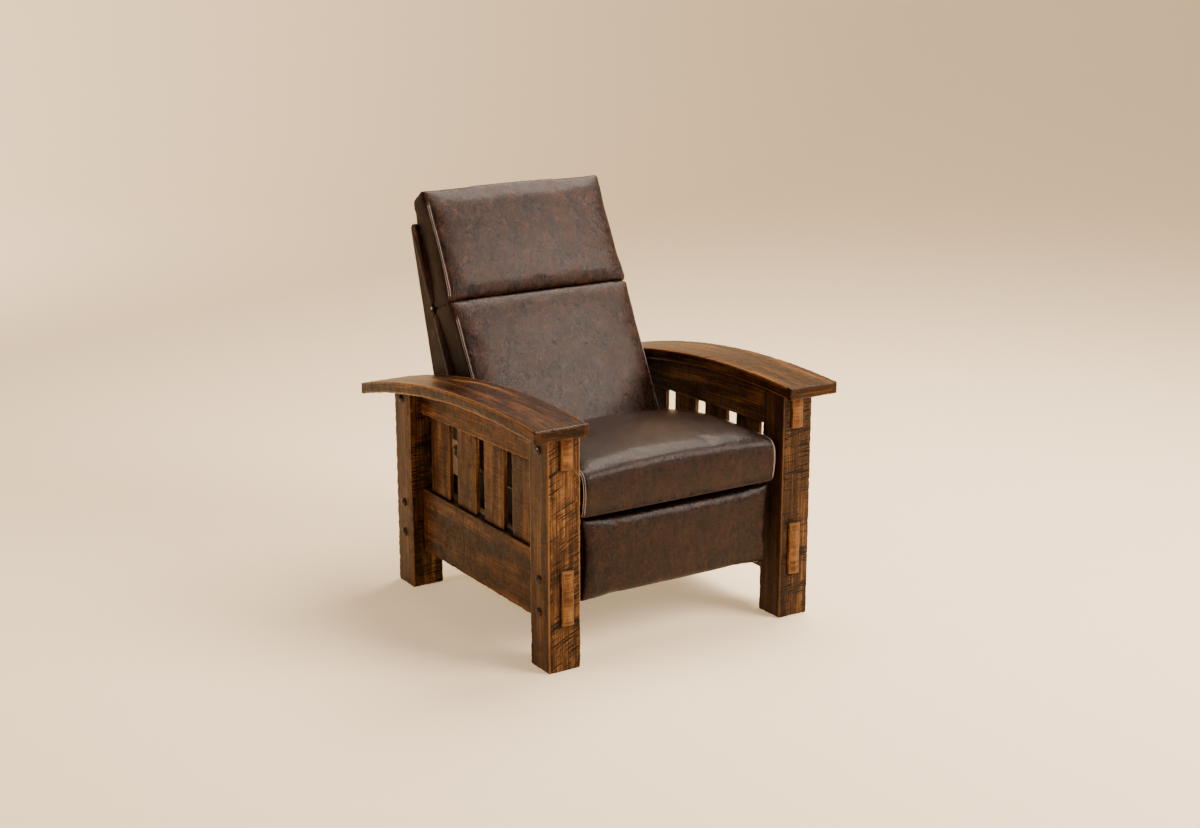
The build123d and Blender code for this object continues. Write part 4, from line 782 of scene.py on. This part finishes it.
def remeshed(node, voxel):
    """A copy of a node's solid, merged and rebuilt in even quads of the voxel size."""
    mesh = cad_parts[node].data.copy()
    cleaned(mesh, 1e-5, 0)
    mesh.materials.clear()
    piece = scene_object(f"{node}_leather", mesh)
    rebuild = piece.modifiers.new("remesh", "REMESH")
    rebuild.mode = "VOXEL"
    rebuild.voxel_size = voxel
    applied(piece)
    return piece


def vectors(collection, key):
    """A vector of each item of a mesh's collection, as rows of an array."""
    values = np.zeros(len(collection) * 3)
    collection.foreach_get(key, values)
    return values.reshape(-1, 3)


def vertex_points(piece):
    return vectors(piece.data.vertices, "co")


def vertex_normals(piece):
    return vectors(piece.data.vertex_normals, "vector")


def set_points(piece, points):
    piece.data.vertices.foreach_set("co", np.asarray(points, np.float32).ravel())
    piece.data.update()


def blown(piece, small, pressure, cap, steps=20):
    """Where the points come to rest as cloth under pressure, each at most the cap away from its start."""
    cloth = piece.modifiers.new("cloth", "CLOTH")
    for setting, value in (("quality", 4), ("mass", 0.3), ("tension_stiffness", 15),
                           ("compression_stiffness", 15), ("shear_stiffness", 5), ("bending_stiffness", 0.5),
                           ("use_pressure", True), ("uniform_pressure_force", pressure)):
        setattr(cloth.settings, setting, value)
    cloth.settings.effector_weights.gravity = 0.0
    cloth.point_cache.frame_start = 1
    cloth.point_cache.frame_end = steps
    for step in range(1, steps + 1):
        bpy.context.scene.frame_set(step)
    applied(piece)
    bpy.context.scene.frame_set(1)
    move = vertex_points(piece) - small
    length = np.linalg.norm(move, axis=1, keepdims=True)
    return small + move * np.minimum(1, cap / np.maximum(length, 1e-9))


def stuffed(node, rests_towards, shrink, cap, tight, spread, voxel=0.009, pressure=4.0):
    """Blows up a node's solid. rests_towards is the direction of the side it rests on, which is held; every
    other side starts smaller by shrink and moves at most cap. tight is the share of the solid's own form that
    the leather keeps. spread gives (direction, low spare, high spare): along each direction the leather is
    stretched back to the solid's own extent, plus the spare at its low and high end."""
    held_from, held_over = 0.55, 0.3
    piece = remeshed(node, voxel)
    start = vertex_points(piece)
    outward = vertex_normals(piece)
    rest = np.array(rests_towards, float)
    held = np.clip((outward @ (rest / np.linalg.norm(rest)) - held_from) / held_over, 0, 1)[:, None]
    small = start - outward * shrink * (1 - held)
    set_points(piece, small)
    small = blown(piece, small, pressure, cap)
    points = small * (1 - held) + start * held
    points = points * (1 - tight) + start * tight
    for direction, low_spare, high_spare in spread:
        direction = np.array(direction, float)
        reach, was = points @ direction, start @ direction
        low, high = was.min() - low_spare, was.max() + high_spare
        share = (reach - reach.min()) / (reach.max() - reach.min())
        points += np.outer(low + share * (high - low) - reach, direction)
    set_points(piece, points)
    smooth = piece.modifiers.new("smooth", "SMOOTH")
    smooth.factor = 0.5
    smooth.iterations = 3
    finer = piece.modifiers.new("finer", "SUBSURF")
    finer.levels = finer.render_levels = 1
    applied(piece)
    piece.data.shade_smooth()
    # flank marks the faces that look sideways, which the leather darkens as painted shade.
    set_values(piece.data, "flank", np.abs(vertex_normals(piece)[:, 0]))
    return piece


def wrinkle(piece, depth, low, high, cell, seed):
    """Gathers the leather between two corners of a box: noise drawn out by the cell's three sizes lowers and
    lifts the surface, fading to nothing over the box's outer third."""
    points = vertex_points(piece)
    share = (points - np.array(low)) / (np.array(high) - np.array(low))
    fade = np.clip(np.minimum(share, 1 - share) * 3, 0, 1).prod(1)
    noise = layered_noise(points / np.array(cell), 1.0, 0.55, 0.5, seed)
    set_points(piece, points + vertex_normals(piece) * (depth * fade * noise)[:, None])


def side_panels(piece, hide, sideways=0.74):
    """Gives the faces that look sideways, past the seams, the hide of the outer back."""
    piece.data.materials.append(hide)
    at_side = np.abs(vectors(piece.data.polygons, "normal")[:, 0]) > sideways
    piece.data.polygons.foreach_set("material_index", at_side.astype(np.int32))


back_rake = math.radians(27.8)
face_up = np.array((0, math.sin(back_rake), math.cos(back_rake)))
face_out = np.array((0, -math.cos(back_rake), math.sin(back_rake)))
back_across = ((1, 0, 0), 0.001, 0.001)
channel_spare = 0.0065
seat = stuffed("seat_cushion", (0, -0.05, -1), shrink=0.006, cap=0.024, tight=0.55,
               spread=[((1, 0, 0), 0.002, 0.002), ((0, 1, 0), 0.001, 0.0)])
lumbar = stuffed("lumbar_cushion", -face_out, shrink=0.005, cap=0.022, tight=0.70,
                 spread=[back_across, (face_up, 0.0, channel_spare)])
head = stuffed("head_cushion", -face_out, shrink=0.005, cap=0.022, tight=0.70,
               spread=[back_across, (face_up, channel_spare, 0.0)])
pad = stuffed("footrest_pad", (0, 1, 0), shrink=0.003, cap=0.016, tight=0.50, voxel=0.006,
              spread=[back_across, ((0, 0, 1), 0.002, 0.003)])
wrinkle(seat, 0.0011, (-0.30, -0.44, 0.350), (0.30, -0.30, 0.500), (0.011, 0.050, 0.045), 3)
wrinkle(seat, 0.0016, (-0.32, -0.44, 0.360), (-0.20, -0.30, 0.480), (0.016, 0.040, 0.040), 8)
wrinkle(lumbar, 0.0008, (-0.30, 0.00, 0.400), (0.30, 0.20, 0.800), (0.060, 0.120, 0.040), 5)
wrinkle(head, 0.0008, (-0.30, 0.15, 0.720), (0.30, 0.45, 1.040), (0.070, 0.120, 0.050), 7)
wrinkle(pad, 0.0008, (-0.30, -0.42, 0.140), (0.30, -0.38, 0.380), (0.014, 0.050, 0.100), 6)
for piece, node, body, fill in ((seat, "seat_cushion", "seat", 0.7), (lumbar, "lumbar_cushion", "back", 0.75),
                                (head, "head_cushion", "back", 0.75), (pad, "footrest_pad", "footrest", 0.6)):
    dressed(piece, leather if body == "back" else seat_leather_painted_shade, body, [node])
    if body == "back":
        side_panels(piece, outer_leather)


# Outer back: the same hide over a thin fibre panel, with a wing at each side. It is drawn round the back
# frame's side boards and closes the back from behind.
outer_back = remeshed("outer_back", 0.0035)
outer_points = vertex_points(outer_back)
outer_ripple = 0.0004 * soft_noise(outer_points, 0.03, 5)[:, None]
set_points(outer_back, outer_points + vertex_normals(outer_back) * outer_ripple)
outer_back.data.shade_smooth()
dressed(outer_back, outer_leather, "back", ["outer_back"])


# Joins: along each side a flat strip of the same hide is sewn over the line where the cushions meet the outer
# back. It stops short of the slot between the two cushions.
def smoothed(values, rounds):
    """Each value becomes a quarter of its two neighbours and a half of itself, its ends held, for so many
    rounds."""
    values = np.array(values, float)
    for _ in range(rounds):
        values[1:-1] = 0.25 * values[:-2] + 0.5 * values[1:-1] + 0.25 * values[2:]
    return values


def unit(arrows):
    return arrows / np.linalg.norm(arrows, axis=-1, keepdims=True)


def strip(route, normals, width, crown, sunk, ridges=(), ridge=0.0, bell=0.17, underside=0.9, steps=16,
          fall=0.0):
    """A flat closed section carried along a route. Across the strip its top is the crown times one minus the
    fourth power of the share, plus a narrow bell for each ridge; its underside, a little narrower, is sunk
    into the leather. Its ends run out over three rows to a point. fall gives each row's drop at its first and
    its last edge, and is nothing at the middle."""
    tangent = unit(np.gradient(route, axis=0))
    normals = unit(normals - (normals * tangent).sum(1, keepdims=True) * tangent)
    side = np.cross(tangent, normals)
    share = np.linspace(-1, 1, steps)
    height = crown * (1 - share**4) - sunk * share**8
    for place in ridges:
        height = height + ridge * np.exp(-((share - place) / bell)**2)
    across = np.concatenate([share, share[::-1][1:-1] * underside])
    height = np.concatenate([height, np.full(steps - 2, -sunk)])
    taper = np.ones((len(route), 1))
    taper[:4, 0] = taper[::-1][:4, 0] = (0.0, 0.5, 0.8, 0.95)
    fall = np.broadcast_to(fall, (len(route), 2))
    rise = height - fall[:, :1] * np.maximum(0, -across) - fall[:, 1:] * np.maximum(0, across)
    points = (route[:, None] + side[:, None] * (across * width / 2 * taper)[..., None]
              + normals[:, None] * (rise * taper - sunk * (1 - taper))[..., None])
    return {"points": points.reshape(-1, 3), "faces": [ring_faces(len(route), len(across))],
            "route": route, "tangent": tangent, "normal": normals, "side": side}


def stitches(carrier, offset, lift, pitch=0.0052, length=0.0040, radius=0.0008, rings=5, sides=6):
    """Beads along a strip: each is a ring of six points at five places along an ellipse."""
    run = run_length(carrier["route"])
    places = np.arange(3 * pitch, run[-1] - 3 * pitch, pitch)
    centre, tangent, normal, side = (
        np.stack([np.interp(places, run, line) for line in carrier[key].T], 1)[:, None]
        for key in ("route", "tangent", "normal", "side"))
    blunt = 0.25
    slope = np.linspace(-math.pi / 2 + blunt, math.pi / 2 - blunt, rings)
    turn = np.tile(np.linspace(0, 2 * math.pi, sides, endpoint=False), rings)[:, None]
    along = np.repeat(np.sin(slope) * length / 2, sides)[:, None]
    out = np.repeat(np.cos(slope) * radius, sides)[:, None]
    points = (centre + side * offset + normal * lift + tangent * along + normal * (out * np.cos(turn))
              + side * (out * np.sin(turn)))
    first = rings * sides * np.arange(len(places))[:, None, None]
    around = np.arange(sides)
    caps = np.stack([around[::-1], around + (rings - 1) * sides])
    return {"points": points.reshape(-1, 3), "faces": [(first + ring_faces(rings, sides)).reshape(-1, 4),
                                                       (first + caps).reshape(-1, sides)]}


def sew(name, parts, material, body):
    """Joins strips or stitches into one closed piece that rides on the body."""
    mesh = joined(name, parts)
    cleaned(mesh)
    mesh.shade_smooth()
    dressed(scene_object(name, mesh), material, body)


# The thread is pale, lightened further as painted highlight along the seams.
thread = Finish("waxed_thread", (0.34, 0.29, 0.26))
twist = thread.noise(thread.coordinates(), 900.0, 2.0)
thread.cover((0.56, 0.50, 0.46), twist)
thread.done(0.42, thread.relief(twist, 0.0002))
graph = bpy.context.evaluated_depsgraph_get()
surfaces = {piece.name: BVHTree.FromObject(piece, graph) for piece in (seat, lumbar, head)}
wing_low, wing_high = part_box("outer_back")
slot_z = sum(corner[2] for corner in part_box("channel_nails")) / 2
slot_gap = 0.007
join_width = 0.034
join_sunk = 0.007
join_foot = 0.004
join_head = 0.020
join_rows = 60
bare_drop = 0.004
stitch_offset = 0.008
stitch_lift = 0.0008
for side_name, side in side_names.items():
    joins = []
    for cushion, low, high in ((lumbar, wing_low[2] + join_foot, slot_z - slot_gap),
                               (head, slot_z + slot_gap, wing_high[2] - join_head)):
        z = np.linspace(low, high, join_rows)
        y = wing_low[1] + (z - wing_low[2]) * math.tan(back_rake)
        route = np.stack([np.full(join_rows, side * wing_high[0]), y, z], 1)
        drop = []
        inwards = Vector((-side, 0, 0))
        for place in route + face_out * join_width / 2:
            hit = surfaces[cushion.name].ray_cast(Vector(place) - inwards * past, inwards)[0]
            drop.append(bare_drop if hit is None else wing_high[0] - abs(hit[0]))
        fall = np.zeros((join_rows, 2))
        fall[:, 1 if side < 0 else 0] = smoothed(drop, 8)
        joins.append(strip(route, np.tile((side, 0.0, 0.0), (join_rows, 1)), join_width, crown=0.0010,
                           sunk=join_sunk, fall=fall))
    sew(f"side_join_{side_name}", joins, outer_leather, "back")
    beads = stitches(joins[0], side * stitch_offset, stitch_lift)
    sew(f"side_join_{side_name}_stitches", [beads], thread.material, "back")


# Seams: the face of each cushion is sewn to its sides with two rows of stitches in waxed thread. The hide is
# folded under them, and stands up along the edge as polished ridges, coloured with a copy of the hide
# lightened 2.4 times: partly wear and partly painted highlight.
seam_wear_and_highlight = mottled_leather("seam_wear_and_highlight", (2.4, 2.4, 2.4), (0.18, 0.30))
seam_inset = 0.024
seam_count = 90
seam_rows = (-0.0024, 0.0024)
seam_lift = 0.0011
seam_end = 0.030
lowest_seam = 0.42


def edge_route(piece, side, starts, ways, reach=0.12):
    """The line where a cushion's face turns into its side. From each start a ray along its way finds the
    face; a second ray, half inwards from the side and half along the way, finds the edge beside it."""
    tree = surfaces[piece.name]
    outwards = np.array((side, 0.0, 0.0))
    places, normals = [], []
    for start, way in zip(starts, ways):
        face = tree.ray_cast(Vector(start), Vector(way))[0]
        if face is None:
            continue
        slant = way - outwards
        begin = np.array(face) + outwards * seam_inset - slant * reach
        edge, normal = tree.ray_cast(Vector(begin), Vector(slant))[:2]
        if edge is not None:
            places.append(edge)
            normals.append(normal)
    return smoothed(places, 12), unit(smoothed(normals, 30))


def double_seams(piece, node, body, rays):
    """Both seams of a cushion. rays has the starts, without their X, and the ways of the rays that find
    the edges."""
    starts, ways = rays
    edge_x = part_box(node)[1][0] - seam_inset
    trims, beads = [], []
    for side in side_names.values():
        from_side = np.column_stack([np.full(len(starts), side * edge_x), starts])
        trim = strip(*edge_route(piece, side, from_side, ways), width=0.0095, crown=0.0005, sunk=0.0012,
                     ridges=(-0.5, 0.5), ridge=0.0007)
        trims.append(trim)
        beads += [stitches(trim, offset, seam_lift) for offset in seam_rows]
    sew(f"{node}_seams", trims, seam_wear_and_highlight, body)
    sew(f"{node}_stitches", beads, thread.material, body)


for piece, node in ((lumbar, "lumbar_cushion"), (head, "head_cushion")):
    low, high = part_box(node)
    z = np.linspace(max(low[2] + seam_end, lowest_seam), high[2] - seam_end, seam_count)
    before_chair = np.full(seam_count, -0.6)
    double_seams(piece, node, "back", (np.column_stack([before_chair, z]),
                                       np.tile((0.0, 1.0, 0.0), (seam_count, 1))))

seat_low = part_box("seat_cushion")[0]
nose_y, nose_z = seat_low[1] + 0.075, seat_low[2] + 0.068
nose_turn = np.radians(np.linspace(90, -48, seam_count))
nose_reach = 0.3
seam_rear_y = -0.03
above_seat = np.full(seam_count, 0.8)
top_run = np.linspace(seam_rear_y, nose_y, seam_count, endpoint=False)
round_nose = np.column_stack([nose_y - nose_reach * np.cos(nose_turn),
                              nose_z + nose_reach * np.sin(nose_turn)])
double_seams(seat, "seat_cushion", "seat", (
    np.concatenate([np.column_stack([top_run, above_seat]), round_nose]),
    np.concatenate([np.tile((0.0, 0.0, -1.0), (seam_count, 1)),
                    np.column_stack([np.zeros(seam_count), np.cos(nose_turn), -np.sin(nose_turn)])])))


# Shade flap: a black cambric flap that closes the view under the back, a dark sheet that stands for the shade
# there: painted shade. It is stapled inside the outer back's lower edge and hangs to just under the rear
# stretcher.
def hung_flap(name, half_width, top, bottom, columns=60, rows=24, fold_height=0.0035, belly=0.006):
    """A cloth between two lines, top and bottom, each (y, z). Soft folds run down it: a sine of the width
    whose height grows with the square of the drop, and a slight belly half way down."""
    across, down = np.meshgrid(np.linspace(-1, 1, columns), np.linspace(0, 1, rows))
    fold = fold_height * np.sin(across * 17.0 + 1.3 * np.sin(across * 5.0)) * down**2
    y = top[0] + (bottom[0] - top[0]) * down + fold + belly * np.sin(math.pi * down)
    z = top[1] + (bottom[1] - top[1]) * down
    first = (np.arange(rows - 1)[:, None] * columns + np.arange(columns - 1)).ravel()
    faces = np.stack([first, first + 1, first + 1 + columns, first + columns], 1)
    points = np.stack([across * half_width, y, z], -1).reshape(-1, 3)
    mesh = joined(name, [{"points": points, "faces": [faces]}])
    mesh.shade_smooth()
    piece = scene_object(name, mesh)
    wall = piece.modifiers.new("wall", "SOLIDIFY")
    wall.thickness = 0.0006
    return piece


shade_cambric = Finish("black_shade_cambric", (0.004, 0.004, 0.004))
shade_cambric_weave = shade_cambric.noise(shade_cambric.coordinates(), (900, 900, 250), 3.0)
shade_cambric.cover((0.014, 0.014, 0.014), shade_cambric_weave)
shade_cambric.done(0.92, shade_cambric.relief(shade_cambric_weave, 0.0002), Specular_IOR_Level=0.1)
flap_inset = 0.014
behind_rail = 0.004
stapled_above = 0.030
hem_below = 0.020
rail_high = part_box("back_bottom_rail")[1]
flap_y = rail_high[1] + behind_rail
flap = hung_flap("lower_back_shade_flap", wing_high[0] - flap_inset, (flap_y, rail_high[2] + stapled_above),
                 (flap_y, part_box("rear_stretcher")[0][2] - hem_below))
dressed(flap, shade_cambric.material, "back")
